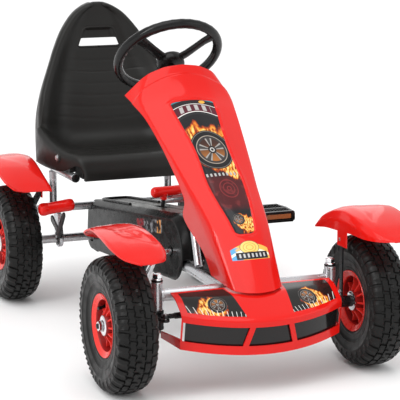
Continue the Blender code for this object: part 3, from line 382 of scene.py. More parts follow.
# ------------------------------------------------------------------ shape building
def shade(mesh, degrees):
    """Smooth faces, with an edge kept sharp where they meet at more than this angle."""
    mesh.polygons.foreach_set("use_smooth", [True] * len(mesh.polygons))
    mesh.set_sharp_from_angle(angle=math.radians(degrees))


class Piece:
    """Collects solids with their finishes, then makes one object that rides a body."""

    def __init__(self, name):
        self.name = name
        self.points = []
        self.faces = []
        self.paints = []
        self.finishes = []
        self.maps = {}

    def add(self, points, faces, finish, matrix=None):
        start = len(self.points)
        if matrix is not None:
            points = [matrix @ Vector(point) for point in points]
        self.points += [tuple(point) for point in points]
        self.faces += [tuple(start + corner for corner in face) for face in faces]
        if finish not in self.finishes:
            self.finishes.append(finish)
        self.paints += [self.finishes.index(finish)] * len(faces)
        return self

    def lathe(self, profile, finish, matrix, steps=48):
        """A closed profile of (radius, height) turned about the matrix's Z."""
        count = len(profile)
        points = []
        for turn in range(steps):
            angle = 2 * math.pi * turn / steps
            points += [(radius * math.cos(angle), radius * math.sin(angle), height)
                       for radius, height in profile]
        faces = []
        for turn in range(steps):
            follow = (turn + 1) % steps
            for index in range(count - 1):
                faces.append((turn * count + index, follow * count + index, follow * count + index + 1,
                              turn * count + index + 1))
        return self.add(points, faces, finish, matrix)

    def tube(self, path, radius, finish, sides=20, scale=(1.0, 1.0), up=(0.013, 0.021, 1.0)):
        """A bar along a path, with a radius for all of it or for each point, closed at both ends."""
        path = [Vector(point) for point in path]
        radii = radius if isinstance(radius, (list, tuple)) else [radius] * len(path)
        points = []
        for index, point in enumerate(path):
            run = (path[min(index + 1, len(path) - 1)] - path[max(index - 1, 0)]).normalized()
            across = run.cross(Vector(up)).normalized()
            over = across.cross(run).normalized()
            for step_index in range(sides):
                angle = 2 * math.pi * step_index / sides
                points.append(point + radii[index] * (across * (math.cos(angle) * scale[0])
                                                      + over * (math.sin(angle) * scale[1])))
        faces = []
        for index in range(len(path) - 1):
            for side in range(sides):
                follow = (side + 1) % sides
                faces.append((index * sides + side, index * sides + follow, (index + 1) * sides + follow,
                              (index + 1) * sides + side))
        faces.append(tuple(range(sides))[::-1])
        faces.append(tuple((len(path) - 1) * sides + side for side in range(sides)))
        return self.add(points, faces, finish)

    def rod(self, start, end, radius, finish, round_off=0.001, sides=24):
        """A straight bar whose ends are rounded over."""
        start = Vector(start)
        end = Vector(end)
        run = (end - start).normalized()
        length = (end - start).length
        path = []
        radii = []
        for share in (0.0, 0.3, 0.7, 1.0):
            inset = round_off * (1 - math.sin(share * math.pi / 2))
            path.append(start + run * (round_off * (1 - math.cos(share * math.pi / 2))))
            radii.append(radius - inset)
        path += [end - run * (point - start).dot(run) for point in reversed(path)]
        radii += radii[::-1]
        return self.tube(path, radii, finish, sides) if length > 2 * round_off else self

    def handle(self, start, end, radius, shape, cuts):
        """A red grip whose radius follows the (share, factor) knots of its shape."""
        shares = [index / cuts for index in range(cuts + 1)]
        path = [start.lerp(end, share) for share in shares]
        return self.tube(path, [radius * table(share, shape) for share in shares], RED, 32)

    def slab(self, outline, thickness, finish, matrix, round_off=0.0008):
        """A flat outline with a thickness along the matrix's Z and eased edges."""
        middle = (sum(spot[0] for spot in outline) / len(outline),
                  sum(spot[1] for spot in outline) / len(outline))
        layers = []
        for height, inset in ((-thickness / 2, round_off), (-thickness / 2 + round_off, 0.0),
                              (thickness / 2 - round_off, 0.0), (thickness / 2, round_off)):
            ring = []
            for across, up in outline:
                reach = math.hypot(across - middle[0], up - middle[1])
                share = (reach - inset) / reach
                ring.append((middle[0] + (across - middle[0]) * share, middle[1] + (up - middle[1]) * share,
                             height))
            layers.append(ring)
        count = len(outline)
        faces = [tuple(range(count))[::-1], tuple(3 * count + index for index in range(count))]
        for layer in range(3):
            for index in range(count):
                follow = (index + 1) % count
                faces.append((layer * count + index, layer * count + follow, (layer + 1) * count + follow,
                              (layer + 1) * count + index))
        return self.add([spot for ring in layers for spot in ring], faces, finish, matrix)

    def box(self, low, high, finish):
        low, high = [Vector(values) for values in zip(*[sorted(pair) for pair in zip(low, high)])]
        points = [(x, y, z) for x in (low.x, high.x) for y in (low.y, high.y) for z in (low.z, high.z)]
        faces = [(0, 1, 3, 2), (4, 6, 7, 5), (0, 4, 5, 1), (2, 3, 7, 6), (0, 2, 6, 4), (1, 5, 7, 3)]
        return self.add(points, faces, finish)

    def grid(self, rows, finish, decal=None, extra=None):
        """An open surface through rows of points; decal and extra hold a pair of numbers for each point."""
        width = len(rows[0])
        start = len(self.points)
        faces = []
        for row in range(len(rows) - 1):
            for column in range(width - 1):
                first = row * width + column
                faces.append((first, first + 1, first + width + 1, first + width))
        self.add([point for row in rows for point in row], faces, finish)
        for label, values in (("decal", decal), ("panel", extra)):
            if values:
                self.maps.setdefault(label, {}).update(
                    {start + index: value for index, value in enumerate(v for row in values for v in row)})
        return self

    def made(self, mend=True):
        mesh = bpy.data.meshes.new(self.name)
        mesh.from_pydata(self.points, [], self.faces)
        for finish in self.finishes:
            mesh.materials.append(finish)
        mesh.polygons.foreach_set("material_index", self.paints)
        for label, values in self.maps.items():
            layer = mesh.uv_layers.new(name=label)
            for loop in mesh.loops:
                layer.data[loop.index].uv = values.get(loop.vertex_index, (9.0, 9.0))
        if mend:
            bm = bmesh.new()
            bm.from_mesh(mesh)
            bmesh.ops.remove_doubles(bm, verts=bm.verts, dist=1e-6)
            bmesh.ops.recalc_face_normals(bm, faces=bm.faces)
            bm.to_mesh(mesh)
            bm.free()
        shade(mesh, 38.0)
        made = bpy.data.objects.new(self.name, mesh)
        bpy.context.scene.collection.objects.link(made)
        return made

    def ride(self, body, nodes=(), slot=None, bevel=0.0, **settings):
        return mount(self.made(**settings), body, nodes, bevel)


def mount(made, body, nodes=(), bevel=0.0):
    """Puts an object on its body, in the place of CAD nodes, with its edges eased."""
    if bevel:
        ease = made.modifiers.new("ease", "BEVEL")
        ease.width = bevel
        ease.segments = 2
        ease.limit_method = "ANGLE"
        ease.angle_limit = math.radians(40.0)
        ease.harden_normals = True
    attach(made, body)
    if nodes:
        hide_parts(*nodes)
    return made


def wall(made, thickness, offset=-1.0, bevel=0.0, even=True):
    """Gives an open surface a wall and rounds its rim."""
    solid = made.modifiers.new("wall", "SOLIDIFY")
    solid.thickness = thickness
    solid.offset = offset
    solid.use_even_offset = even
    if bevel:
        ease = made.modifiers.new("rim", "BEVEL")
        ease.width = bevel
        ease.segments = 3
        ease.limit_method = "ANGLE"
        ease.angle_limit = math.radians(55.0)
        ease.harden_normals = True
    return made


def carve(made, *cutters):
    """Applies what an object has so far and takes other solids out of it."""
    for cutter in cutters:
        removal = made.modifiers.new("carve", "BOOLEAN")
        removal.operation = "DIFFERENCE"
        removal.object = cutter
    bpy.context.view_layer.update()
    shape = bpy.data.meshes.new_from_object(made.evaluated_get(bpy.context.evaluated_depsgraph_get()))
    made.modifiers.clear()
    made.data = shape
    for cutter in cutters:
        bpy.data.objects.remove(cutter, do_unlink=True)
    return made


def along(start, end):
    """Places a shape made about Z with its foot at the start and its axis towards the end."""
    start = Vector(start)
    turn = (Vector(end) - start).to_track_quat("Z", "Y").to_matrix().to_4x4()
    return Matrix.Translation(start) @ turn


def catmull(values, share):
    before, first, second, after = values
    slope_in = (second - before) / 2
    slope_out = (after - first) / 2
    rise = second - first
    return first + share * (slope_in + share * (3 * rise - 2 * slope_in - slope_out
                                                + share * (slope_in + slope_out - 2 * rise)))


def smooth_rows(stations, rows):
    """Resamples stations, each a tuple of numbers, along a curve that passes through all of them."""
    made = []
    last = len(stations) - 1
    for index in range(rows):
        place = index * last / (rows - 1)
        start = min(int(place), last - 1)
        share = place - start
        ring = [stations[min(max(start + offset, 0), last)] for offset in (-1, 0, 1, 2)]
        made.append(tuple(catmull(values, share) for values in zip(*ring)))
    return made


def belt_outline(circles, count=32):
    """The outline of a belt stretched round circles of ((across, up), radius)."""
    spots = sorted({(centre[0] + radius * math.cos(2 * math.pi * index / count),
                     centre[1] + radius * math.sin(2 * math.pi * index / count))
                    for centre, radius in circles for index in range(count)})

    def half(order):
        chain = []
        for spot in order:
            while len(chain) > 1 and ((chain[-1][0] - chain[-2][0]) * (spot[1] - chain[-2][1])
                                      - (chain[-1][1] - chain[-2][1]) * (spot[0] - chain[-2][0])) <= 1e-12:
                chain.pop()
            chain.append(spot)
        return chain[:-1]

    return half(spots) + half(spots[::-1])


def hexagon(radius, start=0.0):
    return [(radius * math.cos(start + corner * math.pi / 3), radius * math.sin(start + corner * math.pi / 3))
            for corner in range(6)]


def on_axle(centre, side):
    """Turns a shape made about Z onto an axle, its top facing outward on the given side."""
    return Matrix.Translation(centre) @ Matrix.Rotation(side * math.pi / 2, 4, "Y")


def facing_back(y):
    """Turns a shape made about Z to face along Y, at this y."""
    return Matrix.Translation((0, y, 0)) @ Matrix.Rotation(math.pi / 2, 4, "X")


def side_view(x, distance=0.0, height=0.0):
    """Lays an outline of (rearward, up) in a plane of constant X."""
    turn = Matrix(((0, 0, 1, 0), (1, 0, 0, 0), (0, 1, 0, 0), (0, 0, 0, 1)))
    return Matrix.Translation((x, behind(distance), height)) @ turn


def ramp(value, low, high):
    """Nought below low, one above high and smooth between."""
    share = min(1.0, max(0.0, (value - low) / (high - low)))
    return share * share * (3 - 2 * share)


def table(value, knots):
    """Reads a smooth curve through (place, number) knots."""
    places = [knot[0] for knot in knots]
    if value <= places[0]:
        return knots[0][1]
    if value >= places[-1]:
        return knots[-1][1]
    index = max(place for place in range(len(places)) if places[place] <= value)
    share = (value - places[index]) / (places[index + 1] - places[index])
    ring = [knots[min(max(index + offset, 0), len(knots) - 1)][1] for offset in (-1, 0, 1, 2)]
    return catmull(ring, share)


def embossed(rows, height):
    """Moves each point of a grid out along its normal by height(row, column)."""
    grid = np.array([[tuple(point) for point in row] for row in rows])
    down = np.gradient(grid, axis=0)
    across = np.gradient(grid, axis=1)
    normal = np.cross(across, down)
    size = np.linalg.norm(normal, axis=2, keepdims=True)
    normal = normal / np.maximum(size, 1e-12)
    lift = np.array([[height(row, column) for column in range(grid.shape[1])]
                     for row in range(grid.shape[0])])
    return (grid + normal * lift[:, :, None]).tolist()


def finer(line, cuts, soften=0):
    """Splits every run of a line of points into equal cuts and softens the corners between."""
    spots = np.array([tuple(point) for point in line])
    made = []
    for first, second in zip(spots, spots[1:]):
        made += [first + (second - first) * share / cuts for share in range(cuts)]
    made.append(spots[-1])
    made = np.array(made)
    for _ in range(soften):
        middle = (made[:-2] + 2 * made[1:-1] + made[2:]) / 4
        made[1:-1] = middle
    return made.tolist()


# ------------------------------------------------------------------ wheels
TREAD_PITCHES = 30
TREAD_LINES = (-0.13, -0.09, 0.09, 0.13, 0.37, 0.41, 0.59, 0.63)
GROOVE_LINES = ((1, 2), (5, 6))         # which of those lines a groove covers, for each stagger
TREAD_DEPTH = 0.0032
TREAD_SECTION = (
    # across, radius, row of blocks: -1 is the floor of a groove, 3 a lug and 9 the plain sidewall
    (0.0000, 0.1300, 0), (0.0040, 0.1300, 0), (0.0078, 0.1299, 0), (0.0085, 0.1299, -1), (0.0101, 0.1298, -1),
    (0.0108, 0.1298, 1), (0.0160, 0.1292, 1), (0.0207, 0.1283, 1), (0.0214, 0.1281, -1), (0.0230, 0.1276, -1),
    (0.0237, 0.1274, 2), (0.0290, 0.1252, 2), (0.0335, 0.1222, 2), (0.0368, 0.1183, 2), (0.0386, 0.1148, 2),
    (0.0391, 0.1130, 3), (0.0397, 0.1085, 3), (0.0398, 0.1050, 3), (0.0392, 0.1035, 9), (0.0392, 0.1000, 9),
    (0.0398, 0.0992, 9), (0.0397, 0.0972, 9), (0.0390, 0.0964, 9), (0.0382, 0.0900, 9), (0.0366, 0.0830, 9),
    (0.0370, 0.0822, 9), (0.0364, 0.0800, 9), (0.0356, 0.0794, 9), (0.0338, 0.0730, 9), (0.0326, 0.0680, 9),
    (0.0330, 0.0672, 9), (0.0326, 0.0640, 9), (0.0312, 0.0618, 9), (0.0270, 0.0560, 9), (0.0262, 0.0512, 9),
)


def tread_floor(across, radius, depth):
    """The point under a block's top, square to the casing."""
    out = Vector((across, radius - 0.090)).normalized()
    return across - out.x * depth, radius - out.y * depth


def tyre(place, side, centre, body):
    """A casing whose rows of blocks are staggered from one row to the next."""
    section = [(-across, radius, row, 1) for across, radius, row in reversed(TREAD_SECTION[1:])]
    section += [(across, radius, row, 0) for across, radius, row in TREAD_SECTION]
    rows = []
    for pitch in range(TREAD_PITCHES):
        for line, fraction in enumerate(TREAD_LINES):
            ring = []
            for across, radius, row, far in section:
                depth = 0.0
                if row == -1:
                    depth = TREAD_DEPTH
                elif row < 3:
                    depth = TREAD_DEPTH if line in GROOVE_LINES[(row + far) % 2] else 0.0
                elif row == 3:
                    depth = 0.0 if line in ((3, 4) if far else (7, 0)) else 0.0012
                across, radius = tread_floor(across, radius, depth)
                if row < 3:
                    fade = min(1.0, abs(across) / 0.008)
                    across += 0.0011 * math.sin(4 * math.pi * (fraction + 0.4 * far)) * fade
                slant = 0.22 * min(1.0, abs(across) / 0.030) * (-1 if far else 1)
                angle = 2 * math.pi * (pitch + fraction + slant) / TREAD_PITCHES
                ring.append((radius * math.cos(angle), radius * math.sin(angle), across))
            rows.append(ring)
    rows.append(rows[0])
    matrix = on_axle(centre, side)
    rows = [[matrix @ Vector(point) for point in row + row[:1]] for row in rows]
    piece = Piece("tyre_%s_look" % place)
    piece.grid(rows, RUBBER)
    piece.ride(body, ["tyre_" + place], "tyre")


RIM_SECTION = (
    (0.0606, 0.0300), (0.0607, 0.0318), (0.0600, 0.0326), (0.0588, 0.0322), (0.0560, 0.0300),
    (0.0515, 0.0283), (0.0492, 0.0270), (0.0478, 0.0235), (0.0468, 0.0090), (0.0452, 0.0062),
    (0.0420, 0.0050), (0.0330, 0.0048), (0.0250, 0.0060), (0.0222, 0.0100), (0.0212, 0.0200),
    (0.0202, 0.0288), (0.0192, 0.0300), (0.0085, 0.0300), (0.0085, -0.0300), (0.0190, -0.0300),
    (0.0212, -0.0200), (0.0250, -0.0055), (0.0440, -0.0045), (0.0468, -0.0090), (0.0478, -0.0235),
    (0.0492, -0.0270), (0.0515, -0.0283), (0.0560, -0.0300), (0.0588, -0.0322), (0.0600, -0.0326),
    (0.0607, -0.0318), (0.0606, -0.0300), (0.0575, -0.0280), (0.0498, -0.0262), (0.0498, 0.0262),
    (0.0575, 0.0280), (0.0606, 0.0300),
)


def rim(place, side, centre, body):
    """A dished disc with ribs inside a flanged barrel, with a bright hub cap and a valve."""
    matrix = on_axle(centre, side)
    piece = Piece("rim_%s_look" % place)
    piece.lathe(RIM_SECTION[:7], RIM_LIP, matrix, 96)
    piece.lathe(RIM_SECTION[6:25], RIM_RED, matrix, 96)
    piece.lathe(RIM_SECTION[24:], RIM_LIP, matrix, 96)
    for spoke in range(10):
        turn = matrix @ Matrix.Rotation(math.pi * (spoke + 0.5) / 5, 4, "Z")
        upright = turn @ Matrix(((1, 0, 0, 0), (0, 0, -1, 0), (0, 1, 0, 0), (0, 0, 0, 1)))
        for face in (1, -1):
            outline = [(0.0195, face * 0.0270), (0.0240, face * 0.0255), (0.0330, face * 0.0205),
                       (0.0470, face * 0.0190), (0.0474, face * 0.0040), (0.0300, face * 0.0035),
                       (0.0195, face * 0.0040)]
            piece.slab(outline[::face], 0.0032, RIM_LIP, upright, 0.0008)
    for bolt in range(5):
        turn = matrix @ Matrix.Rotation(2 * math.pi * bolt / 5, 4, "Z")
        piece.slab(hexagon(0.0030), 0.0040, ZINC, turn @ Matrix.Translation((0.0395, 0, 0.0065)), 0.0005)
    cap = ((0.0085, 0.0298), (0.0085, 0.0318), (0.0120, 0.0322), (0.0172, 0.0316), (0.0190, 0.0303),
           (0.0191, 0.0290), (0.0170, 0.0286), (0.0085, 0.0298))
    piece.lathe(cap, CHROME, matrix, 64)
    piece.lathe([(radius, -height) for radius, height in cap], CHROME, matrix, 64)
    stem = matrix @ Matrix.Rotation(0.9, 4, "Z")
    start = stem @ Vector((0.0455, 0.0, 0.0100))
    end = stem @ Vector((0.0405, 0.0, 0.0290))
    piece.rod(start, end, 0.0031, GRIP, 0.0008, 16)
    piece.rod(start.lerp(end, 0.72), start.lerp(end, 0.98), 0.0036, GRIP, 0.0006, 10)
    piece.ride(body, ["rim_" + place], "red_rim")


def hub_nut(place, side, centre, body):
    """A six-sided cap nut on a washer, with the axle's threaded end in its middle."""
    matrix = on_axle(centre, side)
    piece = Piece("hub_nut_%s_look" % place)
    piece.slab(hexagon(0.0098), 0.0062, CHROME, matrix @ Matrix.Translation((0, 0, 0.0374)), 0.0010)
    washer = ((0.0, 0.0336), (0.0112, 0.0336), (0.0114, 0.0340), (0.0112, 0.0344), (0.0, 0.0344))
    piece.lathe(washer, ZINC, matrix, 32)
    end = ((0.0, 0.0400), (0.0052, 0.0400), (0.0052, 0.0424), (0.0044, 0.0430), (0.0, 0.0430))
    piece.lathe(end, BLACK_STEEL, matrix, 24)
    piece.ride(body, ["hub_nut_" + place], "chrome")


for word, side in SIDES:
    front = joint_place("wheel_front_%s_spin" % word)
    rear = Vector((side * abs(joint_place("wheel_rear_left_spin").x), REAR_Y, AXLE_Z))
    rear_body = "wheel_rear_left" if side == LEFT else "rear_axle"
    for place, centre, body, nut_body in (("front_" + word, front, "wheel_front_" + word, "knuckle_" + word),
                                          ("rear_" + word, rear, rear_body, "rear_axle")):
        tyre(place, side, centre, body)
        rim(place, side, centre, body)
        hub_nut(place, side, centre, nut_body)


# ------------------------------------------------------------------ frame
TUBE_SPREAD = 0.036
CROSS_BEHIND = 0.790
CROSS_HEIGHT = 0.1997
RAIL_X = 0.140
RAIL_HEIGHT = 0.2965
BEAM_HEIGHT = 0.178


def bolt_head(piece, spot, outward, radius, height):
    """A hexagon head with a washer, standing on a surface."""
    place = along(spot, Vector(spot) + Vector(outward))
    washer = ((0.0, 0.0), (radius * 1.35, 0.0), (radius * 1.35, 0.0008), (0.0, 0.0008))
    piece.lathe(washer, ZINC, place, 24)
    piece.slab(hexagon(radius), height, ZINC, place @ Matrix.Translation((0, 0, height / 2 + 0.0006)), 0.0005)


def frame_tubes():
    """Main tubes, seat rails and posts, and the cross tube behind."""
    for word, side in SIDES:
        x = side * TUBE_SPREAD
        tube = Piece("main_tube_%s_look" % word)
        tube.rod((x, behind(0.0131), 0.1686), (x, behind(0.7795) - 0.0004, CROSS_HEIGHT), 0.0105, SILVER,
                 0.0006, 32)
        tube.ride("frame", ["main_tube_" + word], "silver_tube")

        rail = Piece("seat_rail_%s_look" % word)
        rail_x = side * RAIL_X
        ends = (behind(0.616), behind(0.860))
        rail.rod((rail_x, ends[0] + 0.004, RAIL_HEIGHT), (rail_x, ends[1] - 0.004, RAIL_HEIGHT), 0.0095,
                 SILVER,
                 0.0004, 32)
        for end, inward in zip(ends, (0.0042, -0.0042)):
            rail.rod((rail_x, end, RAIL_HEIGHT), (rail_x, end + inward, RAIL_HEIGHT), 0.0093, GRIP, 0.0014,
                     28)
        rail.ride("frame", ["seat_rail_" + word], "silver_tube")

        post = Piece("seat_post_%s_look" % word)
        top = RAIL_HEIGHT - 0.0099
        post.rod((rail_x, behind(CROSS_BEHIND), CROSS_HEIGHT + 0.0099), (rail_x, behind(CROSS_BEHIND), top),
                 0.0088, SILVER, 0.0006, 28)
        for height in (CROSS_HEIGHT + 0.0102, top - 0.0022):
            post.rod((rail_x, behind(CROSS_BEHIND), height), (rail_x, behind(CROSS_BEHIND), height + 0.0020),
                     0.0098, SILVER, 0.0009, 28)
        post.ride("frame", ["seat_post_" + word], "silver_tube")

    cross = Piece("rear_cross_tube_look")
    half = 0.1927
    cross.rod((-half + 0.004, behind(CROSS_BEHIND), CROSS_HEIGHT),
              (half - 0.004, behind(CROSS_BEHIND), CROSS_HEIGHT),
              0.0095, SILVER, 0.0004, 32)
    for side in (LEFT, RIGHT):
        cross.rod((side * (half - 0.0042), behind(CROSS_BEHIND), CROSS_HEIGHT),
                  (side * half, behind(CROSS_BEHIND), CROSS_HEIGHT), 0.0093, GRIP, 0.0014, 28)
    cross.ride("frame", ["rear_cross_tube"], "silver_tube")


def front_beam():
    """The front cross tube with its upright head tubes and the welds round them."""
    beam = Piece("front_axle_beam_look")
    beam.rod((-KINGPIN_X + 0.006, FRONT_Y, BEAM_HEIGHT), (KINGPIN_X - 0.006, FRONT_Y, BEAM_HEIGHT), 0.0122,
             SILVER,
             0.0004, 36)
    for side in (LEFT, RIGHT):
        place = Matrix.Translation((side * KINGPIN_X, FRONT_Y, 0.0))
        head = ((0.0059, 0.1500), (0.0106, 0.1500), (0.0115, 0.1508), (0.0115, 0.1545), (0.0112, 0.1550),
                (0.0112, 0.2000), (0.0115, 0.2005), (0.0115, 0.2042), (0.0106, 0.2050), (0.0059, 0.2050),
                (0.0059, 0.1500))
        beam.lathe(head, SILVER, place, 48)
        beam.rod((side * (KINGPIN_X - 0.0135), FRONT_Y, BEAM_HEIGHT),
                 (side * (KINGPIN_X - 0.0085), FRONT_Y, BEAM_HEIGHT),
                 0.0125, SILVER, 0.0022, 36)
    beam.ride("frame", ["front_axle_beam"], "silver_tube")
    for word, side in SIDES:
        bolt = Piece("kingpin_bolt_%s_look" % word)
        place = Matrix.Translation((side * KINGPIN_X, FRONT_Y, 0.0))
        washers = ((0.0050, 0.2054), (0.0112, 0.2054), (0.0114, 0.2060), (0.0114, 0.2074), (0.0108, 0.2080),
                   (0.0050, 0.2080), (0.0050, 0.2054))
        bolt.lathe(washers, GRIP, place, 40)
        collar = ((0.0050, 0.2081), (0.0098, 0.2081), (0.0103, 0.2086), (0.0103, 0.2104), (0.0096, 0.2112),
                  (0.0050, 0.2112), (0.0050, 0.2081))
        bolt.lathe(collar, CHROME, place, 40)
        bolt.slab(hexagon(0.0090, 0.3), 0.0082, CHROME, place @ Matrix.Translation((0, 0, 0.2155)), 0.0008)
        dome = ((0.0078, 0.2190), (0.0074, 0.2204), (0.0058, 0.2214), (0.0, 0.2215))
        bolt.lathe(dome, CHROME, place, 32)
        shank = ((0.0, 0.1056), (0.0050, 0.1056), (0.0050, 0.2090), (0.0, 0.2090))
        bolt.lathe(shank, ZINC, place, 24)
        bolt.slab(hexagon(0.0085, 0.1), 0.0072, ZINC, place @ Matrix.Translation((0, 0, 0.1088)), 0.0008)
        bolt.ride("frame", ["kingpin_bolt_" + word], "chrome")


def rear_frame():
    """Carriers under the cross tube, the axle they hold and the straps of the rear mudguards."""
    top = CROSS_HEIGHT - 0.0099
    lug = belt_outline([((WHEELBASE, AXLE_Z), 0.020), ((CROSS_BEHIND - 0.012, top - 0.004), 0.004),
                        ((CROSS_BEHIND + 0.012, top - 0.004), 0.004)])
    for word, side in SIDES:
        carrier = Piece("axle_carrier_%s_look" % word)
        carrier.slab(lug, 0.010, SILVER, side_view(side * 0.130), 0.0012)
        for face in (-1, 1):
            ring = on_axle((side * 0.130, REAR_Y, AXLE_Z), LEFT)
            seal = ((0.0108, face * 0.0050), (0.0160, face * 0.0050), (0.0155, face * 0.0062),
                    (0.0108, face * 0.0062), (0.0108, face * 0.0050))
            carrier.lathe(seal, BLACK_STEEL, ring, 40)
        carrier.ride("frame", ["axle_carrier_" + word], "silver_tube")

        stay = Piece("mudguard_stay_rear_%s_look" % word)
        outline = belt_outline([((0.716, 0.2520), 0.0095), ((CROSS_BEHIND, CROSS_HEIGHT), 0.0125)])
        stay.slab(outline, 0.0030, BLACK_STEEL, side_view(side * 0.1948), 0.0006)
        stay.ride("frame", ["mudguard_stay_rear_" + word], "black_steel", 0.0)

    axle = Piece("rear_axle_look")
    half = 0.485 / 2 + 0.0336
    lengthwise = on_axle((0, REAR_Y, AXLE_Z), LEFT)
    shaft = ((0.0, half), (0.0070, half), (0.0080, half - 0.001), (0.0080, 0.2115), (0.0100, 0.2105),
             (0.0100, -0.2105), (0.0080, -0.2115), (0.0080, -half + 0.001), (0.0070, -half), (0.0, -half))
    axle.lathe(shaft, ZINC, lengthwise, 40)
    axle.ride("rear_axle", ["rear_axle"], "bare_steel")


frame_tubes()
front_beam()
rear_frame()


# ------------------------------------------------------------------ steering
WHEEL_CENTRE = joint_place("steering_turn")
COLUMN_UP = Vector(JOINTS["steering_turn"]["axis"]).normalized()
COLUMN_FORWARD = Vector((0.0, -COLUMN_UP.z, COLUMN_UP.y))
COLUMN_FRAME = Matrix.Translation(WHEEL_CENTRE) @ Matrix((
    (1.0, 0.0, 0.0, 0.0),
    (0.0, -COLUMN_FORWARD.y, COLUMN_UP.y, 0.0),
    (0.0, -COLUMN_FORWARD.z, COLUMN_UP.z, 0.0),
    (0.0, 0.0, 0.0, 1.0),
))
STEERING_RADIUS = 0.107
STEERING_GRIP = 0.0105
PITMAN_DEPTH = 0.616
PITMAN_ARM = 0.027
KNUCKLE_ARM = 0.045
TIE_ROD_HEIGHT = 0.148


def on_column(depth, forward=0.0, across=0.0):
    """A point this far down the column from the steering wheel's middle."""
    return WHEEL_CENTRE - COLUMN_UP * depth + COLUMN_FORWARD * forward + Vector((across, 0.0, 0.0))


def square_to_column(depth):
    """Lays an outline of (across, forward) square to the column."""
    turn = Matrix((
        (1.0, 0.0, 0.0, 0.0),
        (0.0, COLUMN_FORWARD.y, -COLUMN_UP.y, 0.0),
        (0.0, COLUMN_FORWARD.z, -COLUMN_UP.z, 0.0),
        (0.0, 0.0, 0.0, 1.0),
    ))
    return Matrix.Translation(on_column(depth)) @ turn


def steering_wheel():
    """A padded ring with a seam, three flat spokes and a dished hub with a round pad."""
    piece = Piece("steering_wheel_look")
    rows = []
    for step_index in range(145):
        angle = 2 * math.pi * step_index / 144
        ring = []
        for side in range(25):
            turn = 2 * math.pi * side / 24
            ridge = 0.0005 * max(0.0, math.sin(turn * 2)) * (0.5 + 0.5 * math.cos(angle * 36))
            reach = STEERING_GRIP - 0.0006 + ridge
            radius = STEERING_RADIUS + reach * math.cos(turn)
            ring.append(COLUMN_FRAME @ Vector((radius * math.cos(angle), radius * math.sin(angle),
                                               reach * math.sin(turn))))
        rows.append(ring)
    piece.grid(rows, GRIP)
    for degrees in (38.0, 142.0, 270.0):
        angle = math.radians(degrees)
        path = []
        for share in (0.0, 0.25, 0.5, 0.75, 1.0):
            reach = 0.018 + (STEERING_RADIUS - 0.022) * share
            path.append(on_column(0.0165 - 0.0145 * ramp(share, 0.0, 1.0), reach * math.sin(angle),
                                  reach * math.cos(angle)))
        piece.tube(path, [0.0120, 0.0110, 0.0104, 0.0106, 0.0124], GRIP, 20, (1.0, 0.50), COLUMN_UP)
    hub = ((0.0, -0.0300), (0.0240, -0.0300), (0.0290, -0.0270), (0.0300, -0.0200), (0.0285, -0.0110),
           (0.0262, -0.0085), (0.0225, -0.0080), (0.0215, -0.0090), (0.0205, -0.0080), (0.0120, -0.0066),
           (0.0, -0.0062))
    piece.lathe(hub, GRIP, COLUMN_FRAME, 56)
    piece.ride("steering", ["steering_wheel"], "grip_plastic")


def steering_column():
    """The shaft with its pitman arm and the pin that works the tie rods."""
    piece = Piece("steering_column_look")
    piece.rod(on_column(PITMAN_DEPTH + 0.006), on_column(0.0304), 0.0080, BLACK_STEEL, 0.0008, 28)
    arm = belt_outline([((0.0, 0.0), 0.012), ((0.0, PITMAN_ARM), 0.007)])
    piece.slab(arm, 0.005, BLACK_STEEL, square_to_column(PITMAN_DEPTH), 0.0008)
    piece.rod(on_column(PITMAN_DEPTH + 0.013, PITMAN_ARM), on_column(PITMAN_DEPTH - 0.013, PITMAN_ARM),
              0.0028, ZINC,
              0.0005, 16)
    piece.ride("steering", ["steering_column"], "black_steel")


def steering_mounts():
    """The lower bush between the main tubes and the upper bush on its bent support."""
    lower = 0.5427
    reach = TUBE_SPREAD - 0.0105 - 0.0004
    bracket = Piece("steering_bracket_look")
    for side in (-1, 1):
        bracket.box((side * 0.0125, behind(0.038), 0.166), (side * reach, behind(0.062), 0.179), BLACK_STEEL)
    bush = ((0.0087, -0.010), (0.0122, -0.010), (0.0130, -0.0092), (0.0130, 0.0092), (0.0122, 0.010),
            (0.0087, 0.010), (0.0087, -0.010))
    bracket.lathe(bush, BLACK_STEEL, along(on_column(lower), on_column(lower - 0.1)), 40)
    bracket.ride("frame", ["steering_bracket"], "black_steel", 0.0006)
    upper = 0.166
    foot = Vector((TUBE_SPREAD, behind(0.150), 0.1686 + 0.0057 + 0.0105 + 0.0055))
    support = Piece("steering_support_look")
    legs = [Vector((-foot.x, foot.y, foot.z)), on_column(upper, -0.0205, -0.010),
            on_column(upper, -0.0205, 0.010), foot]
    support.tube(finer(legs, 10, 3), 0.0079, SILVER, 24)
    ring = ((0.0087, -0.012), (0.0126, -0.012), (0.0135, -0.011), (0.0135, 0.011), (0.0126, 0.012),
            (0.0087, 0.012), (0.0087, -0.012))
    support.lathe(ring, SILVER, along(on_column(upper), on_column(upper - 0.1)), 40)
    support.ride("frame", ["steering_support"], "silver_tube")


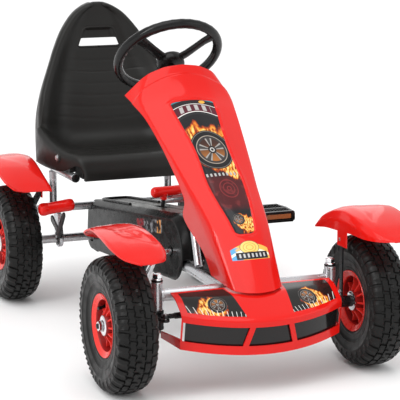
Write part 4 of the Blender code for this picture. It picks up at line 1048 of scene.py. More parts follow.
def knuckle(word, side):
    """A kingpin sleeve with its stub axle and arm, the tie rod to it and the strap of its mudguard."""
    x = side * KINGPIN_X
    hub_x = joint_place("wheel_front_%s_spin" % word).x
    piece = Piece("knuckle_%s_look" % word)
    sleeve = ((0.0059, 0.1130), (0.0122, 0.1130), (0.0130, 0.1138), (0.0130, 0.1180), (0.0124, 0.1186),
              (0.0124, 0.1440), (0.0130, 0.1446), (0.0130, 0.1486), (0.0122, 0.1494), (0.0059, 0.1494),
              (0.0059, 0.1130))
    piece.lathe(sleeve, BLACK_STEEL, Matrix.Translation((x, FRONT_Y, 0.0)), 48)
    piece.rod((side * 0.188, FRONT_Y, AXLE_Z), (hub_x - side * 0.0306, FRONT_Y, AXLE_Z), 0.0114, BLACK_STEEL,
              0.001, 32)
    piece.rod((side * 0.200, FRONT_Y, AXLE_Z), (hub_x + side * 0.0334, FRONT_Y, AXLE_Z), 0.0079, ZINC,
              0.0008, 28)
    arm = belt_outline([((0.0, 0.0), 0.0125), ((0.0, -KNUCKLE_ARM), 0.008)])
    piece.slab(arm, 0.005, BLACK_STEEL, Matrix.Translation((x, FRONT_Y, 0.140)), 0.0010)
    piece.rod((x, FRONT_Y - KNUCKLE_ARM, 0.1365), (x, FRONT_Y - KNUCKLE_ARM, TIE_ROD_HEIGHT + 0.0050),
              0.0038, ZINC,
              0.0006, 20)
    piece.ride("knuckle_" + word, ["knuckle_" + word], "black_steel")

    outer = Vector((x, FRONT_Y - KNUCKLE_ARM, TIE_ROD_HEIGHT))
    inner = on_column(PITMAN_DEPTH - side * 0.0085, PITMAN_ARM)
    run = (inner - outer).normalized()
    rod = Piece("tie_rod_%s_look" % word)
    near = outer + run * 0.0075
    far = inner - run * 0.0095
    rod.rod(near, far, 0.0048, BLACK_STEEL, 0.0008, 24)
    for spot, forward in ((near, run), (far, -run)):
        rod.rod(spot + forward * 0.010, spot + forward * 0.026, 0.0060, BLACK_STEEL, 0.0020, 24)
    for spot, axis, hole, size in ((outer, Vector((0, 0, 1)), 0.0045, 0.0085),
                                   (inner, COLUMN_UP, 0.0073, 0.0105)):
        eye = ((hole, -0.0029), (size - 0.0007, -0.0029), (size, -0.0022), (size, 0.0022),
               (size - 0.0007, 0.0029), (hole, 0.0029), (hole, -0.0029))
        rod.lathe(eye, BLACK_STEEL, along(spot, spot + axis), 40)
    rod.ride("tie_rod_" + word, ["tie_rod_" + word], "black_steel")

    strap = Piece("mudguard_stay_front_%s_look" % word)
    strap.box((side * 0.2034, FRONT_Y - 0.0055, AXLE_Z + 0.012), (side * 0.2069, FRONT_Y + 0.0055, 0.2680),
              BLACK_STEEL)
    for height in (0.150, 0.256):
        bolt_head(strap, (side * 0.2034, FRONT_Y, height), (-side, 0, 0), 0.0040, 0.0028)
    strap.ride("knuckle_" + word, ["mudguard_stay_front_" + word], "black_steel", 0.0006)


steering_wheel()
steering_column()
steering_mounts()
for word, side in SIDES:
    knuckle(word, side)


# ------------------------------------------------------------------ drive
CRANK_SPOT = (0.262, 0.1985)
CRANK_THROW = Vector((0.0, math.cos(math.radians(125.0)), math.sin(math.radians(125.0)))) * 0.090
CHAIN_PITCH = 0.0127
CRANK_TEETH = 20
REAR_TEETH = 13


def pitch_radius(teeth):
    return CHAIN_PITCH / (2 * math.sin(math.pi / teeth))


def toothed(teeth):
    """The outline of a chain wheel."""
    outline = []
    for tooth in range(teeth):
        for share, lift in ((-0.30, -0.0020), (-0.16, 0.0022), (0.0, 0.0028), (0.16, 0.0022), (0.30, -0.0020),
                            (0.5, -0.0040)):
            angle = 2 * math.pi * (tooth + share) / teeth
            radius = pitch_radius(teeth) + lift
            outline.append((radius * math.cos(angle), radius * math.sin(angle)))
    return outline


def drive():
    """Chainring, sprocket, the chain's links, crank bearings, the bent crank and its pedals."""
    middle = Vector((0.0, behind(CRANK_SPOT[0]), CRANK_SPOT[1]))
    ring = Piece("chainring_look")
    ring.slab(toothed(CRANK_TEETH), 0.0038, ZINC, side_view(0.0, *CRANK_SPOT), 0.0006)
    ring.rod(middle - Vector((0.008, 0, 0)), middle + Vector((0.008, 0, 0)), 0.0135, ZINC, 0.001, 32)
    ring.ride("crank", ["chainring"], "silver_tube")
    small = Piece("sprocket_look")
    hub = Vector((0.0, REAR_Y, AXLE_Z))
    small.slab(toothed(REAR_TEETH), 0.0038, ZINC, side_view(0.0, WHEELBASE, AXLE_Z), 0.0006)
    small.rod(hub - Vector((0.010, 0, 0)), hub + Vector((0.010, 0, 0)), 0.0150, ZINC, 0.001, 32)
    small.ride("rear_axle", ["sprocket"], "silver_tube")

    loop = belt_outline([(CRANK_SPOT, pitch_radius(CRANK_TEETH) + 0.0075),
                         ((WHEELBASE, AXLE_Z), pitch_radius(REAR_TEETH) + 0.0075)], 72)
    spots = [Vector(spot) for spot in loop + loop[:1]]
    lengths = [0.0]
    for first, second in zip(spots, spots[1:]):
        lengths.append(lengths[-1] + (second - first).length)
    count = 2 * round(lengths[-1] / CHAIN_PITCH / 2)
    joints = []
    for link in range(count):
        place = lengths[-1] * link / count
        index = max(step_index for step_index in range(len(spots) - 1) if lengths[step_index] <= place)
        share = (place - lengths[index]) / (lengths[index + 1] - lengths[index])
        joints.append(spots[index].lerp(spots[index + 1], share))
    chain = Piece("chain_look")
    for link in range(count):
        first = joints[link]
        second = joints[(link + 1) % count]
        reach = (0.0034, 0.0025) if link % 2 else (0.0022, 0.0013)
        outline = belt_outline([(tuple(first), 0.0034), (tuple(second), 0.0034)], 10)
        for face in (-1, 1):
            chain.slab(outline, 0.0009, BLACK_STEEL, side_view(face * (reach[0] - 0.0005)), 0.0002)
        spot = Vector((0.0, behind(first.x), first.y))
        chain.rod(spot - Vector((0.0021, 0, 0)), spot + Vector((0.0021, 0, 0)), 0.0026, ZINC, 0.0003, 10)
    chain.ride("frame", ["chain"], "black_steel")

    for word, side in SIDES:
        bearing = Piece("crank_bearing_%s_look" % word)
        x = side * TUBE_SPREAD
        for face in (-1, 1):
            bearing.box((x - 0.010, middle.y + face * 0.0080, 0.1905),
                        (x + 0.010, middle.y + face * 0.016, 0.2130),
                        BLACK_STEEL)
        for low, high in ((0.1905, 0.1912), (0.2060, 0.2130)):
            bearing.box((x - 0.010, middle.y - 0.0082, low), (x + 0.010, middle.y + 0.0082, high),
                        BLACK_STEEL)
        bearing.ride("frame", ["crank_bearing_" + word], "black_steel", 0.0008)

    bends = []
    for side, reach in ((RIGHT, (0.1865, 0.0950, 0.0800)), (LEFT, (0.0800, 0.0950, 0.1865))):
        for x in reach:
            bends.append(middle + (CRANK_THROW * side if x > 0.09 else Vector()) + Vector((side * x, 0, 0)))
    crank = Piece("crank_look")
    crank.tube(finer(bends, 12, 5), 0.0069, CHROME, 28, up=(0.0, 0.57, 0.82))
    crank.ride("crank", ["crank"], "chrome")
    for word, side in SIDES:
        pedal(word, middle + CRANK_THROW * side + Vector((side * 0.147, 0, 0)))


def pedal(word, centre):
    """A moulded pedal: a sleeve, two end walls, ribbed treads and an amber reflector front and rear."""
    piece = Piece("pedal_%s_look" % word)
    half = Vector((0.036, 0.042, 0.012))
    for face in (-1, 1):
        wall_x = centre.x + face * (half.x - 0.0035)
        outline = belt_outline([((-half.y + 0.006, -0.004), 0.0060), ((-half.y + 0.006, 0.004), 0.0060),
                                ((half.y - 0.006, -0.004), 0.0060), ((half.y - 0.006, 0.004), 0.0060),
                                ((0.0, 0.0), 0.0118)], 20)
        sideways = Matrix(((0, 0, 1, 0), (1, 0, 0, 0), (0, 1, 0, 0), (0, 0, 0, 1)))
        turn = Matrix.Translation((wall_x, centre.y, centre.z)) @ sideways
        piece.slab(outline, 0.0070, GRIP, turn, 0.0010)
        end_y = centre.y + face * (half.y - 0.0045)
        for height in (-1, 1):
            piece.box((centre.x - half.x + 0.004, end_y - 0.0045, centre.z + height * 0.0062),
                      (centre.x + half.x - 0.004, end_y + 0.0045, centre.z + height * 0.0112), GRIP)
        piece.box((centre.x - half.x + 0.004, end_y - face * 0.0045, centre.z - 0.0070),
                  (centre.x + half.x - 0.004, end_y - face * 0.0005, centre.z + 0.0070), GRIP)
        piece.box((centre.x - half.x + 0.009, end_y - face * 0.0010, centre.z - 0.0040),
                  (centre.x + half.x - 0.009, end_y + face * 0.0036, centre.z + 0.0058), AMBER)
    for rib in (-0.024, -0.0155, 0.0155, 0.024):
        piece.box((centre.x - half.x + 0.004, centre.y + rib - 0.0016, centre.z - 0.0085),
                  (centre.x + half.x - 0.004, centre.y + rib + 0.0016, centre.z + 0.0085), GRIP)
        for tooth in range(8):
            x = centre.x - 0.0245 + 0.007 * tooth
            piece.box((x - 0.0014, centre.y + rib - 0.0014, centre.z - 0.0108),
                      (x + 0.0014, centre.y + rib + 0.0014, centre.z + 0.0108), GRIP)
    sleeve = ((0.0077, -half.x + 0.0005), (0.0112, -half.x + 0.0005), (0.0112, half.x - 0.0005),
              (0.0077, half.x - 0.0005), (0.0077, -half.x + 0.0005))
    piece.lathe(sleeve, GRIP, on_axle(centre, LEFT), 40)
    piece.ride("pedal_" + word, ["pedal_" + word], "grip_plastic", 0.0007)


drive()


# ------------------------------------------------------------------ chain cover
COVER_GROOVES = (0.0110, 0.0320)


def cover_section(inset):
    return belt_outline([((0.262, 0.2035), 0.0725 - inset), ((0.790, 0.1850), 0.0270 - inset),
                         ((0.783, AXLE_Z), 0.041 - inset)], 96)


def evenly(outline, count):
    """The same closed outline with its points equally far apart, from its foremost point."""
    start = min(range(len(outline)), key=lambda index: outline[index][0])
    loop = np.array(outline[start:] + outline[:start] + [outline[start]])
    reach = np.concatenate([[0.0], np.cumsum(np.linalg.norm(np.diff(loop, axis=0), axis=1))])
    places = np.linspace(0.0, reach[-1], count, endpoint=False)
    return np.stack([np.interp(places, reach, loop[:, axis]) for axis in (0, 1)], axis=1)


def chain_cover(word, side):
    """Half of a moulded cover: flat side, sloping shoulder, a ribbed drum in front and an open underside."""
    count = 240
    full = evenly(cover_section(0.0), count)
    profile = [(0.0003, 0.0)]
    for groove in COVER_GROOVES:
        profile += [(groove - 0.0016, 0.0), (groove - 0.0008, 0.0014), (groove + 0.0008, 0.0014),
                    (groove + 0.0016, 0.0)]
    profile += [(0.0360, 0.0), (0.0375, 0.0004), (0.0500, 0.0094), (0.0512, 0.0106), (0.0518, 0.0122),
                (0.0519, 0.0180), (0.0519, 0.0235)]
    shells = {inset: evenly(cover_section(inset), count) for inset in {inset for _, inset in profile}}
    rows = []
    decals = []
    for x, inset in profile:
        row = []
        for index in range(count):
            across, up = shells[inset][index]
            if inset == 0.0014:
                drum = 1.0 - ramp(full[index][0], 0.215, 0.250)
                across, up = full[index] + (shells[inset][index] - full[index]) * drum
            row.append((side * x, behind(across), up))
        rows.append(row + row[:1])
        decals.append([(point[1] - FRONT_Y, point[2]) for point in rows[-1]])
    piece = Piece("chain_cover_%s_look" % word)
    piece.grid(rows, COVER, decals)
    piece.finishes.append(COVER_TOP)
    width = count + 1
    for place in range(len(profile) - 1):
        for column in range(count):
            across = full[column]
            if profile[place + 1][0] <= 0.0361 and across[0] > 0.300 and across[1] > 0.20:
                piece.paints[place * count + column] = 1
    last = len(piece.points)
    ring = [(len(rows) - 1) * width + column for column in range(count)]
    piece.points.append((side * 0.0519, behind(0.45), 0.19))
    piece.maps["decal"][last] = (0.45, 0.19)
    piece.faces.append(tuple(ring))
    piece.paints.append(0)
    made = piece.made()
    for polygon in made.data.polygons:
        if len(polygon.vertices) > 20:
            polygon.use_smooth = False
    outward = made.data.polygons[len(made.data.polygons) - 1].normal.x * side
    wall(made, 0.0022, -1.0 if outward > 0 else 1.0)
    cuts = []
    belly = Piece("belly")
    shape = [(0.10, 0.05), (0.10, 0.192), (0.262, 0.192), (0.262, 0.150), (0.785, 0.115), (0.785, 0.05)]
    belly.slab(shape, 0.0495, COVER, side_view(side * 0.0245), 0.0)
    cuts.append(belly.made())
    for name, spot, radius in (("crank_hole", CRANK_SPOT, 0.0120), ("axle_hole", (WHEELBASE, AXLE_Z), 0.0140),
                               ("tube_hole", (CROSS_BEHIND, CROSS_HEIGHT), 0.0105)):
        hole = Piece(name)
        hole.rod((-0.1, behind(spot[0]), spot[1]), (0.1, behind(spot[0]), spot[1]), radius, COVER, 0.0001, 40)
        cuts.append(hole.made())
    slot = Piece("gear_slot")
    slot.box((-0.0075, behind(0.418), 0.225), (0.0075, behind(0.484), 0.30), COVER)
    cuts.append(slot.made())
    carve(made, *cuts)
    mount(made, "frame", ["chain_cover_" + word])


def cover_lip():
    """The raised black rim round the back of the cover's top."""
    plan = ((0.0340, 0.560), (0.0340, 0.740), (0.0280, 0.764), (0.0, 0.770), (-0.0280, 0.764),
            (-0.0340, 0.740), (-0.0340, 0.560))
    path = [(x, behind(distance), 0.2780 - 0.0640 * (distance - 0.262) / 0.528)
            for x, distance in finer(plan, 6, 2)]
    lip = Piece("chain_cover_lip")
    lip.tube(path, 0.0034, COVER, 16)
    lip.ride("frame", [], "cover_plastic")


for word, side in SIDES:
    chain_cover(word, side)
cover_lip()


# ------------------------------------------------------------------ seat
SEAT_STATIONS = (
    # behind, height, half width, edge forward, edge up, skirt out, skirt back, skirt down
    (0.603, 0.2925, 0.1155, 0.000, 0.000, 0.003, 0.003, 0.003),
    (0.599, 0.3150, 0.1180, 0.000, 0.000, 0.004, 0.003, 0.004),
    (0.612, 0.3380, 0.1280, 0.000, 0.001, 0.007, 0.003, 0.014),
    (0.655, 0.3400, 0.152, 0.000, 0.008, 0.004, 0.002, 0.040),
    (0.720, 0.3370, 0.166, 0.000, 0.030, 0.003, 0.002, 0.0595),
    (0.780, 0.3370, 0.171, 0.010, 0.052, 0.001, 0.018, 0.080),
    (0.818, 0.3600, 0.167, 0.042, 0.038, -0.004, 0.052, 0.086),
    (0.828, 0.4000, 0.163, 0.050, 0.020, 0.000, 0.050, 0.025),
    (0.838, 0.4450, 0.154, 0.048, 0.010, 0.002, 0.032, 0.006),
    (0.850, 0.4850, 0.139, 0.042, 0.006, 0.002, 0.024, 0.002),
    (0.861, 0.5150, 0.124, 0.036, 0.004, 0.002, 0.022, 0.001),
    (0.870, 0.5580, 0.104, 0.028, 0.002, 0.002, 0.022, 0.000),
    (0.874, 0.5960, 0.083, 0.020, 0.000, 0.002, 0.022, -0.002),
    (0.877, 0.6300, 0.057, 0.012, -0.002, 0.002, 0.020, -0.002),
    (0.878, 0.6480, 0.034, 0.007, -0.003, 0.002, 0.018, -0.002),
    (0.880, 0.6560, 0.014, 0.004, -0.002, 0.002, 0.016, -0.001),
    (0.896, 0.6540, 0.014, 0.002, -0.002, 0.002, 0.006, 0.004),
)
SLOT = (0.5610, 0.5730, 0.0455, 0.0415)     # bottom, top, half widths of the handle slot
SLOT_TOP = (0.598, 0.030)                   # of the sunk space above it: height, half width


def groove(value, middle, width):
    return math.exp(-((value - middle) / width) ** 2)


def seat():
    """A grained bucket shell with pressed grooves across its back and a sunk surround to the slot."""
    stations = smooth_rows(SEAT_STATIONS, 225)
    rows = []
    for distance, height, half_width, forward, rise, out, back, down in stations:
        half = []
        for step_index in range(15):
            share = step_index / 14
            lift = max(0.0, (share - 0.60) / 0.40) ** 1.5
            half.append(Vector((half_width * share, behind(distance - forward * lift), height + rise * lift)))
        edge = half[-1]
        middle = edge + Vector((out * 0.5 + 0.004, back * 0.25, -down * 0.10))
        end = edge + Vector((out, back, -down))
        half += [edge.lerp(middle, share) for share in (0.33, 0.66, 1.0)]
        half += [middle.lerp(end, share) for share in (0.2, 0.4, 0.6, 0.8, 1.0)]
        for _ in range(2):
            half = half[:1] + [(first + second * 2 + third) / 4
                               for first, second, third in zip(half, half[1:], half[2:])] + half[-1:]
        rows.append([Vector((-point.x, point.y, point.z)) for point in reversed(half[1:])] + half)
    width = len(rows[0])

    def relief(row, column):
        distance, _, half_width = stations[row][:3]
        point = rows[row][column]
        x = abs(point.x)
        share = x / half_width
        lift = 0.0
        if distance > 0.815:
            inside = 1.0 - ramp(share, 0.70, 0.80)
            for line in range(6):
                middle = 0.395 + 0.0262 * line + 0.9 * x * x
                lift -= 0.0010 * inside * groove(point.z, middle, 0.0016)
            rib = groove(share, 0.82, 0.035) * ramp(point.z, 0.37, 0.41) * (1.0 - ramp(point.z, 0.47, 0.54))
            lift += 0.0012 * rib
            bottom, low_half = SLOT[0], SLOT[2]
            top, high_half = SLOT_TOP
            share_up = min(1.0, max(0.0, (point.z - bottom) / (top - bottom)))
            reach = max(bottom - 0.005 - point.z, point.z - top - 0.005,
                        x - (low_half + (high_half - low_half) * share_up) - 0.005)
            lift -= 0.0075 * (1.0 - ramp(reach, -0.006, 0.003))
        elif distance > 0.63:
            inside = 1.0 - ramp(share, 0.66, 0.78)
            for line in range(4):
                lift -= 0.0011 * inside * groove(distance, 0.672 + 0.030 * line - 0.5 * x * x, 0.0018)
        return lift if 4 < column < width - 5 else 0.0

    piece = Piece("seat_look")
    piece.grid(embossed(rows, relief), SEAT)
    shell = piece.made(mend=False)
    wall(shell, 0.005, 1.0, 0.0016, even=False)
    bottom, top, low_half, high_half = SLOT
    outline = belt_outline([((-low_half, bottom), 0.005), ((low_half, bottom), 0.005),
                            ((high_half, top), 0.005),
                            ((-high_half, top), 0.005)], 32)
    cutter = Piece("slot_cutter")
    cutter.slab(outline, 0.10, SEAT, facing_back(behind(0.872)), 0.0)
    carve(shell, cutter.made())
    shade(shell.data, 50.0)
    mount(shell, "seat", ["seat"])

    fittings = Piece("seat_fittings")
    for side in (LEFT, RIGHT):
        for near, far, top_z in ((0.640, 0.700, 0.3440), (0.735, 0.795, 0.3470)):
            fittings.box((side * (RAIL_X - 0.0068), behind(near), RAIL_HEIGHT + 0.0100),
                         (side * (RAIL_X + 0.0068), behind(far), top_z), SEAT)
    for side in (LEFT, RIGHT):
        fittings.box((side * 0.1240, behind(0.6045), 0.2960), (side * 0.1285, behind(0.6600), 0.3360), SEAT)
        boss = Vector((side * 0.150, behind(0.668), 0.3350))
        fittings.rod(boss, boss + Vector((side * 0.0165, 0.0, 0.002)), 0.0115, SEAT, 0.0020, 32)
    fittings.ride("seat", [], "seat_plastic", 0.0012)

    ridge = Piece("seat_slot_ridge")
    low, high = Vector((0.0535, behind(0.8685), 0.5580)), Vector((0.0350, behind(0.8722), 0.6035))
    corners = [(0.0, low), (1.0, low), (1.0, high), (-1.0, high), (-1.0, low), (0.0, low)]
    ridge.tube(finer([(sign * spot.x, spot.y, spot.z) for sign, spot in corners], 8, 2), 0.0028, SEAT, 16)
    ridge.ride("seat", [], "seat_plastic")
    bolts = Piece("seat_corner_bolts")
    for side in (LEFT, RIGHT):
        bolt_head(bolts, (side * 0.1662, behind(0.668), 0.3370), (side, 0, 0.12), 0.0052, 0.0032)
    bolts.ride("seat", [], "bare_steel")


seat()


# ------------------------------------------------------------------ body shells
FAIRING_STATIONS = (
    # centre (behind, height), shoulder (x, behind, height), rear edge (x, behind, height)
    (-0.081, 0.1850, 0.050, -0.062, 0.1885, 0.057, 0.033, 0.1990),
    (-0.032, 0.2490, 0.056, -0.014, 0.2440, 0.062, 0.064, 0.2400),
    (0.017, 0.3060, 0.062, 0.034, 0.2990, 0.070, 0.143, 0.2900),
    (0.096, 0.3680, 0.070, 0.112, 0.3590, 0.0755, 0.131, 0.3350),
    (0.175, 0.4290, 0.080, 0.190, 0.4190, 0.086, 0.196, 0.4050),
    (0.254, 0.4880, 0.090, 0.268, 0.4760, 0.098, 0.274, 0.4660),
    (0.298, 0.5230, 0.094, 0.313, 0.5090, 0.107, 0.334, 0.4940),
    (0.332, 0.5730, 0.070, 0.341, 0.5560, 0.112, 0.373, 0.5090),
)
PANEL_HALF = (
    # share of the fairing's length, half width of its printed panel there
    (0.215, 0.0150), (0.24, 0.0215), (0.30, 0.0270), (0.36, 0.0335), (0.43, 0.0378), (0.50, 0.0362),
    (0.55, 0.0358), (0.60, 0.0378), (0.67, 0.0435), (0.72, 0.0465), (0.77, 0.0480), (0.82, 0.0480),
)
PANEL_ENDS = (0.228, 0.789)
STEP_LINE = ((-1.0, 0.868), (-0.65, 0.895), (-0.33, 0.925), (0.0, 0.941), (0.33, 0.925), (0.65, 0.895),
             (1.0, 0.868))


def panel_reach(x, share):
    """How far inside the printed panel a point of the fairing is, in metres; negative outside."""
    side = table(share, PANEL_HALF) - abs(x)
    low = (share - PANEL_ENDS[0]) * PANEL_LENGTH
    high = (PANEL_ENDS[1] - share) * PANEL_LENGTH - 3.0 * x * x
    near = min(side, low, high)
    gaps = sorted(value for value in (side, low, high))[:2]
    corner = 0.009
    if gaps[1] < corner:
        return corner - math.hypot(corner - gaps[0], corner - gaps[1])
    return near


def fairing():
    """A glossy channel over the column, with a sunk printed panel and a stepped top border."""
    count = 221
    cuts = 12
    rows = []
    for station in smooth_rows(FAIRING_STATIONS, count):
        centre = Vector((0.0, behind(station[0]), station[1]))
        shoulder = Vector((station[2], behind(station[3]), station[4]))
        edge = Vector((station[5], behind(station[6]), station[7]))
        crown = Vector((shoulder.x * 0.55, (centre.y * 3 + shoulder.y) / 4, (centre.z * 3 + shoulder.z) / 4))
        bend = shoulder.lerp(edge, 0.25) + Vector((0.003, 0.0, 0.001))
        half = [crown, shoulder, bend, edge]
        line = [Vector((-point.x, point.y, point.z)) for point in reversed(half)] + [centre] + half
        rows.append(finer(line, cuts, 8))
    width = len(rows[0])
    reach = [[panel_reach(rows[row][column][0], row / (count - 1))
              if abs(column - width // 2) < 2.6 * cuts else -0.05
              for column in range(width)] for row in range(count)]

    def relief(row, column):
        share = row / (count - 1)
        across = 2.0 * column / (width - 1) - 1.0
        inside = reach[row][column]
        lift = -0.0016 * ramp(inside, 0.0, 0.0022)
        lift += 0.0010 * ramp(inside, -0.0085, -0.0035) * (1.0 - ramp(inside, -0.0020, 0.0))
        line = (share - table(across, STEP_LINE)) * PANEL_LENGTH
        lift -= 0.0018 * ramp(line, 0.0, 0.0035)
        return lift

    raised = embossed(rows, relief)
    decals = [[(rows[row][column][0], row / (count - 1) * PANEL_LENGTH) for column in range(width)]
              for row in range(count)]
    mask = [[(value, 0.0) for value in line] for line in reach]
    piece = Piece("fairing_look")
    piece.grid(raised, FAIRING_RED, decals, mask)
    shell = piece.made(mend=False)
    wall(shell, 0.003, -1.0, 0.0012)
    mount(shell, "frame", ["fairing"])


def bumper_front(x):
    return 0.135 - 1.80 * x * x


def bumper_sweep(x):
    return 0.450 * x * x - 0.005


BUMPER_HALF = 0.164
STRUT_HALF = 0.00525


def bumper():
    """A sloping deck with printed ends, a front with three windows and a lip that returns along the sides."""
    columns = [BUMPER_HALF * index / 40 for index in range(-40, 41)]
    lines = []
    decals = []
    for x in columns:
        line = []
        for ahead, share, height in ((0.029, 0.0, 0.1885), (0.018, 0.4, 0.1830), (-0.0060, 1.0, 0.1560),
                                     (0.0, 1.0, 0.1490), (-0.0010, 1.0, 0.1380), (-0.0080, 1.0, 0.1000),
                                     (-0.0090, 1.0, 0.0840)):
            line.append((x, FRONT_Y - ahead - share * bumper_front(x),
                         height + (bumper_sweep(x) if share == 1.0 else 0.0)))
        line = finer(line, 6, 2)
        lines.append(line)
        decals.append([(x, (FRONT_Y - 0.029 - point[1]) if index <= 12 else 0.5)
                       for index, point in enumerate(line)])
    rows = [list(row) for row in zip(*lines)]
    maps = [list(row) for row in zip(*decals)]
    piece = Piece("bumper_look")
    piece.grid(rows, RED_DECK, maps)
    shell = piece.made(mend=False)
    wall(shell, 0.003, 1.0)
    end = 0.161
    cuts = []
    for corners in (((-end, -end), (-0.050 - STRUT_HALF, -0.039 - STRUT_HALF)),
                    ((-0.050 + STRUT_HALF, -0.039 + STRUT_HALF), (0.050 - STRUT_HALF, 0.039 - STRUT_HALF)),
                    ((0.050 + STRUT_HALF, 0.039 + STRUT_HALF), (end, end))):
        spots = []
        (left_low, left_high), (right_low, right_high) = corners
        for share in [index / 16 for index in range(17)]:
            spots.append((left_low + (right_low - left_low) * share, 0.1010))
        for share in [index / 16 for index in range(17)]:
            spots.append((right_high + (left_high - right_high) * share, 0.1380))
        spots = [(x, z + bumper_sweep(x)) for x, z in spots]
        window = Piece("window")
        window.slab(spots, 0.12, RED, facing_back(behind(-0.10)), 0.0)
        cuts.append(window.made())
    carve(shell, *cuts)
    shade(shell.data, 34.0)
    mount(shell, "frame", ["bumper"], 0.0009)

    lip = Piece("bumper_lip")
    for side in (LEFT, RIGHT):
        start = FRONT_Y - bumper_front(BUMPER_HALF) + 0.0105
        arm = [(side * (BUMPER_HALF - 0.0030), start, 0.1000),
               (side * (BUMPER_HALF + 0.0010), start + 0.04, 0.1000),
               (side * (BUMPER_HALF + 0.0055), FRONT_Y + 0.005, 0.1000)]
        path = finer(arm, 8, 3)
        for index, (first, second) in enumerate(zip(path, path[1:])):
            share = (index + 0.5) / len(path)
            tall = 0.0100 - 0.0035 * share
            lip.box((min(first[0], second[0]) - 0.0017, first[1] - 0.0004, 0.1000 - tall),
                    (max(first[0], second[0]) + 0.0017, second[1] + 0.0004, 0.1000 + tall), RED)
    lip.ride("frame", [], "red_plastic", 0.0010)

    grille = Piece("bumper_grille_look")
    columns = [0.155 * index / 30 for index in range(-30, 31)]
    grille.grid([[(x, FRONT_Y - bumper_front(x) + set_back, height + bumper_sweep(x)) for x in columns]
                 for set_back, height in ((0.0080, 0.1400), (0.0118, 0.1180), (0.0155, 0.0960))], SMOKED)
    glass = grille.made(mend=False)
    wall(glass, 0.002, -1.0, 0.0004)
    mount(glass, "frame", ["bumper_grille"])


MUDGUARD_FRONT = (
    # rearward of the axle, inner x, outer x, height of the inner edge, of the crown, of the outer edge
    (-0.155, 0.240, 0.266, 0.2765, 0.2780, 0.2775),
    (-0.138, 0.217, 0.292, 0.2755, 0.2870, 0.2850),
    (-0.105, 0.202, 0.306, 0.2750, 0.3010, 0.2980),
    (-0.050, 0.200, 0.309, 0.2750, 0.3135, 0.3105),
    (0.000, 0.200, 0.309, 0.2720, 0.3180, 0.3150),
    (0.035, 0.200, 0.309, 0.2700, 0.3140, 0.3070),
    (0.062, 0.200, 0.301, 0.2680, 0.3050, 0.2930),
    (0.088, 0.200, 0.262, 0.2640, 0.2900, 0.2780),
    (0.111, 0.200, 0.222, 0.2600, 0.2660, 0.2630),
)
MUDGUARD_REAR = (
    (-0.154, 0.192, 0.278, 0.2700, 0.2730, 0.2800),
    (-0.132, 0.190, 0.292, 0.2710, 0.2900, 0.2930),
    (-0.095, 0.190, 0.298, 0.2740, 0.3090, 0.3080),
    (-0.045, 0.190, 0.300, 0.2860, 0.3260, 0.3230),
    (0.000, 0.190, 0.300, 0.2960, 0.3310, 0.3280),
    (0.050, 0.190, 0.300, 0.2900, 0.3250, 0.3180),
    (0.100, 0.192, 0.298, 0.2760, 0.3040, 0.2960),
    (0.140, 0.198, 0.286, 0.2620, 0.2780, 0.2720),
    (0.165, 0.216, 0.266, 0.2560, 0.2600, 0.2580),
)


def mudguard(place, side, stations, axle_behind, leg, body):
    """A glossy arched guard with a sunk swoosh on its crown and a leg under its inner skirt."""
    count = 113
    rows = []
    for reach, inner, outer, inner_z, crown, outer_z in smooth_rows(stations, count):
        width = outer - inner
        deep = crown - inner_z
        line = ((inner, inner_z), (inner, inner_z + 0.50 * deep), (inner + 0.07 * width, crown - 0.14 * deep),
                (inner + 0.26 * width, crown), (inner + 0.70 * width, crown),
                (inner + 0.92 * width, outer_z * 0.6 + crown * 0.4), (outer, outer_z))
        rows.append(finer([(side * x, behind(axle_behind + reach), z) for x, z in line], 6, 2))

    def relief(row, column):
        along_share = row / (count - 1)
        across = column / 36
        middle = 0.50 + 0.16 * math.sin((along_share - 0.30) * 5.0)
        near = abs(across - middle) - 0.105 * math.sin(math.pi * ramp(along_share, 0.26, 0.74))
        inside = (1.0 - ramp(near, -0.02, 0.02)) if 0.26 < along_share < 0.74 else 0.0
        border = groove(across, 0.93, 0.02) * 0.4
        return (-0.0010 * inside - 0.0008 * border) * side

    piece = Piece("mudguard_%s_look" % place)
    piece.grid(embossed(rows, relief), RED)
    shell = piece.made(mend=False)
    wall(shell, 0.003, -1.0 if side == LEFT else 1.0, 0.0011)
    mount(shell, body, ["mudguard_" + place])
    near, far, bottom, top = leg
    inner = stations[4][1]
    foot = Piece("mudguard_leg_%s" % place)
    foot.box((side * (inner + 0.0002), behind(near), bottom), (side * (inner + 0.0028), behind(far), top),
             RED)
    middle = Vector((side * (inner + 0.0002), behind((near + far) / 2), bottom + 0.010))
    if place.startswith("rear"):
        bolt_head(foot, middle + Vector((side * 0.0026, 0, 0)), (side, 0, 0), 0.0036, 0.0026)
    foot.ride(body, [], "red_plastic", 0.0006)


fairing()
bumper()
for word, side in SIDES:
    mudguard("front_" + word, side, MUDGUARD_FRONT, 0.0, (-0.029, 0.011, 0.2430, 0.2800), "knuckle_" + word)
    mudguard("rear_" + word, side, MUDGUARD_REAR, WHEELBASE, (0.705, 0.727, 0.2420, 0.2870), "frame")


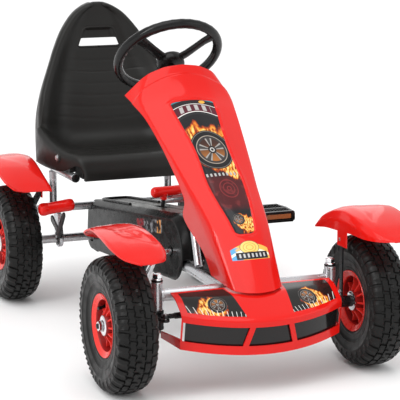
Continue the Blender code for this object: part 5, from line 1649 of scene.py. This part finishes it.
# ------------------------------------------------------------------ hand controls
def brake():
    """The hand brake: a bracket on the cross tube, a lever on its pin and a red grip."""
    pin = joint_place("brake_pull")
    bracket = Piece("brake_bracket_look")
    arm = belt_outline([((0.710, 0.150), 0.006), ((CROSS_BEHIND - 0.016, CROSS_HEIGHT - 0.022), 0.008)])
    bracket.slab(arm, 0.004, BLACK_STEEL, side_view(pin.x + 0.0075), 0.0007)
    bracket.rod((pin.x + 0.0075, pin.y, pin.z), (pin.x - 0.0063, pin.y, pin.z), 0.0039, ZINC, 0.0008, 20)
    bracket.ride("frame", ["brake_bracket"], "black_steel")
    lever = Piece("brake_lever_look")
    outline = belt_outline([((0.710, 0.150), 0.0095), ((0.660, 0.2080), 0.0060)])
    lever.slab(outline, 0.0045, BLACK_STEEL, side_view(pin.x), 0.0008)
    lever.ride("brake", ["brake_lever"], "black_steel")
    start = Vector((-0.213, behind(0.660), 0.2230))
    end = Vector((-0.132, behind(0.660), 0.2315))
    shape = ((0.00, 0.50), (0.015, 0.78), (0.05, 0.97), (0.10, 1.05), (0.16, 1.07), (0.24, 1.00),
             (0.45, 0.96), (0.66, 0.98), (0.80, 1.02), (0.88, 1.02), (0.95, 0.93), (0.985, 0.74),
             (1.00, 0.46))
    grip = Piece("brake_grip_look")
    grip.handle(start, end, 0.0136, shape, 96)
    grip.ride("brake", ["brake_grip"], "red_plastic")


def gear():
    """The short lever through the cover's slot, with a T-shaped knob."""
    pin = joint_place("gear_shift")
    head = Vector((0.0, behind(0.443), 0.2720))
    lift = (head - pin).normalized()
    lever = Piece("gear_lever_look")
    lever.rod(pin, head, 0.0044, BLACK_STEEL, 0.0004, 24)
    lever.rod(pin - Vector((0.010, 0, 0)), pin + Vector((0.010, 0, 0)), 0.0064, BLACK_STEEL, 0.0008, 24)
    lever.ride("gear", ["gear_lever"], "black_steel")
    neck = head + lift * 0.0006
    knob = Piece("gear_knob_look")
    path = []
    radii = []
    for share, radius in ((0.0, 0.0074), (0.04, 0.0080), (0.35, 0.0070), (0.6, 0.0076), (1.0, 0.0092)):
        path.append(neck + lift * 0.0150 * share)
        radii.append(radius)
    knob.tube(path, radii, RED, 28, up=(1.0, 0.02, 0.01))
    start = neck + Vector((-0.0280, 0, 0.0140))
    end = neck + Vector((0.0560, 0, 0.0180))
    shape = ((0.0, 0.42), (0.02, 0.68), (0.06, 0.90), (0.12, 1.0), (0.35, 0.93), (0.80, 0.85), (0.94, 0.82),
             (0.985, 0.66), (1.0, 0.44))
    knob.handle(start, end, 0.0119, shape, 48)
    knob.ride("gear", ["gear_knob"], "red_plastic")


brake()
gear()


# ------------------------------------------------------------------ floor, light and camera
def stage_scene():
    mesh = bpy.data.meshes.new("floor")
    mesh.from_pydata([(-60, -60, 0), (60, -60, 0), (60, 60, 0), (-60, 60, 0)], [], [(0, 1, 2, 3)])
    floor = bpy.data.objects.new("floor", mesh)
    bpy.context.scene.collection.objects.link(floor)
    pale = bpy.data.materials.new("pale_floor")
    pale.use_nodes = True
    shader = pale.node_tree.nodes["Principled BSDF"]
    shader.inputs["Base Color"].default_value = (0.88, 0.88, 0.88, 1.0)
    shader.inputs["Roughness"].default_value = 0.75
    shader.inputs["Specular IOR Level"].default_value = 0.15
    mesh.materials.append(pale)
    world = bpy.data.worlds.new("studio")
    world.use_nodes = True
    world.node_tree.nodes["Background"].inputs["Color"].default_value = (1.0, 1.0, 1.0, 1.0)
    world.node_tree.nodes["Background"].inputs["Strength"].default_value = 0.86
    bpy.context.scene.world = world
    bpy.context.scene.view_settings.view_transform = "Standard"

    def lamp(name, kind, place, energy, **settings):
        data = bpy.data.lights.new(name, kind)
        data.energy = energy
        for setting, value in settings.items():
            setattr(data, setting, value)
        made = bpy.data.objects.new(name, data)
        aim = Vector((0, 0, 0.25)) - Vector(place)
        made.matrix_world = Matrix.Translation(place) @ aim.to_track_quat("-Z", "Y").to_matrix().to_4x4()
        bpy.context.scene.collection.objects.link(made)

    lamp("overhead", "SUN", (-0.8, -1.0, 4.0), 1.15, angle=math.radians(55.0))
    lamp("key", "AREA", (-2.6, -1.6, 2.2), 40.0, shape="RECTANGLE", size=0.8, size_y=2.2)
    lamp("fill", "AREA", (2.4, -2.2, 1.6), 9.0, shape="RECTANGLE", size=1.8, size_y=1.8)
    lamp("back", "AREA", (1.0, 2.8, 2.0), 10.0, shape="SQUARE", size=2.0)
    data = bpy.data.cameras.new("camera")
    data.lens = 158.425
    data.sensor_width = 36.0
    data.clip_end = 200.0
    camera = bpy.data.objects.new("camera", data)
    right = Vector((0.92875, -0.37071, -0.0004)).normalized()
    up = Vector((0.06992, 0.17412, 0.98224)).normalized()
    back = right.cross(up)
    spot = Vector((-1.2975, -3.4137, 0.9755))
    camera.matrix_world = Matrix((
        (right.x, up.x, back.x, spot.x),
        (right.y, up.y, back.y, spot.y),
        (right.z, up.z, back.z, spot.z),
        (0.0, 0.0, 0.0, 1.0),
    ))
    bpy.context.scene.collection.objects.link(camera)
    bpy.context.scene.camera = camera


stage_scene()
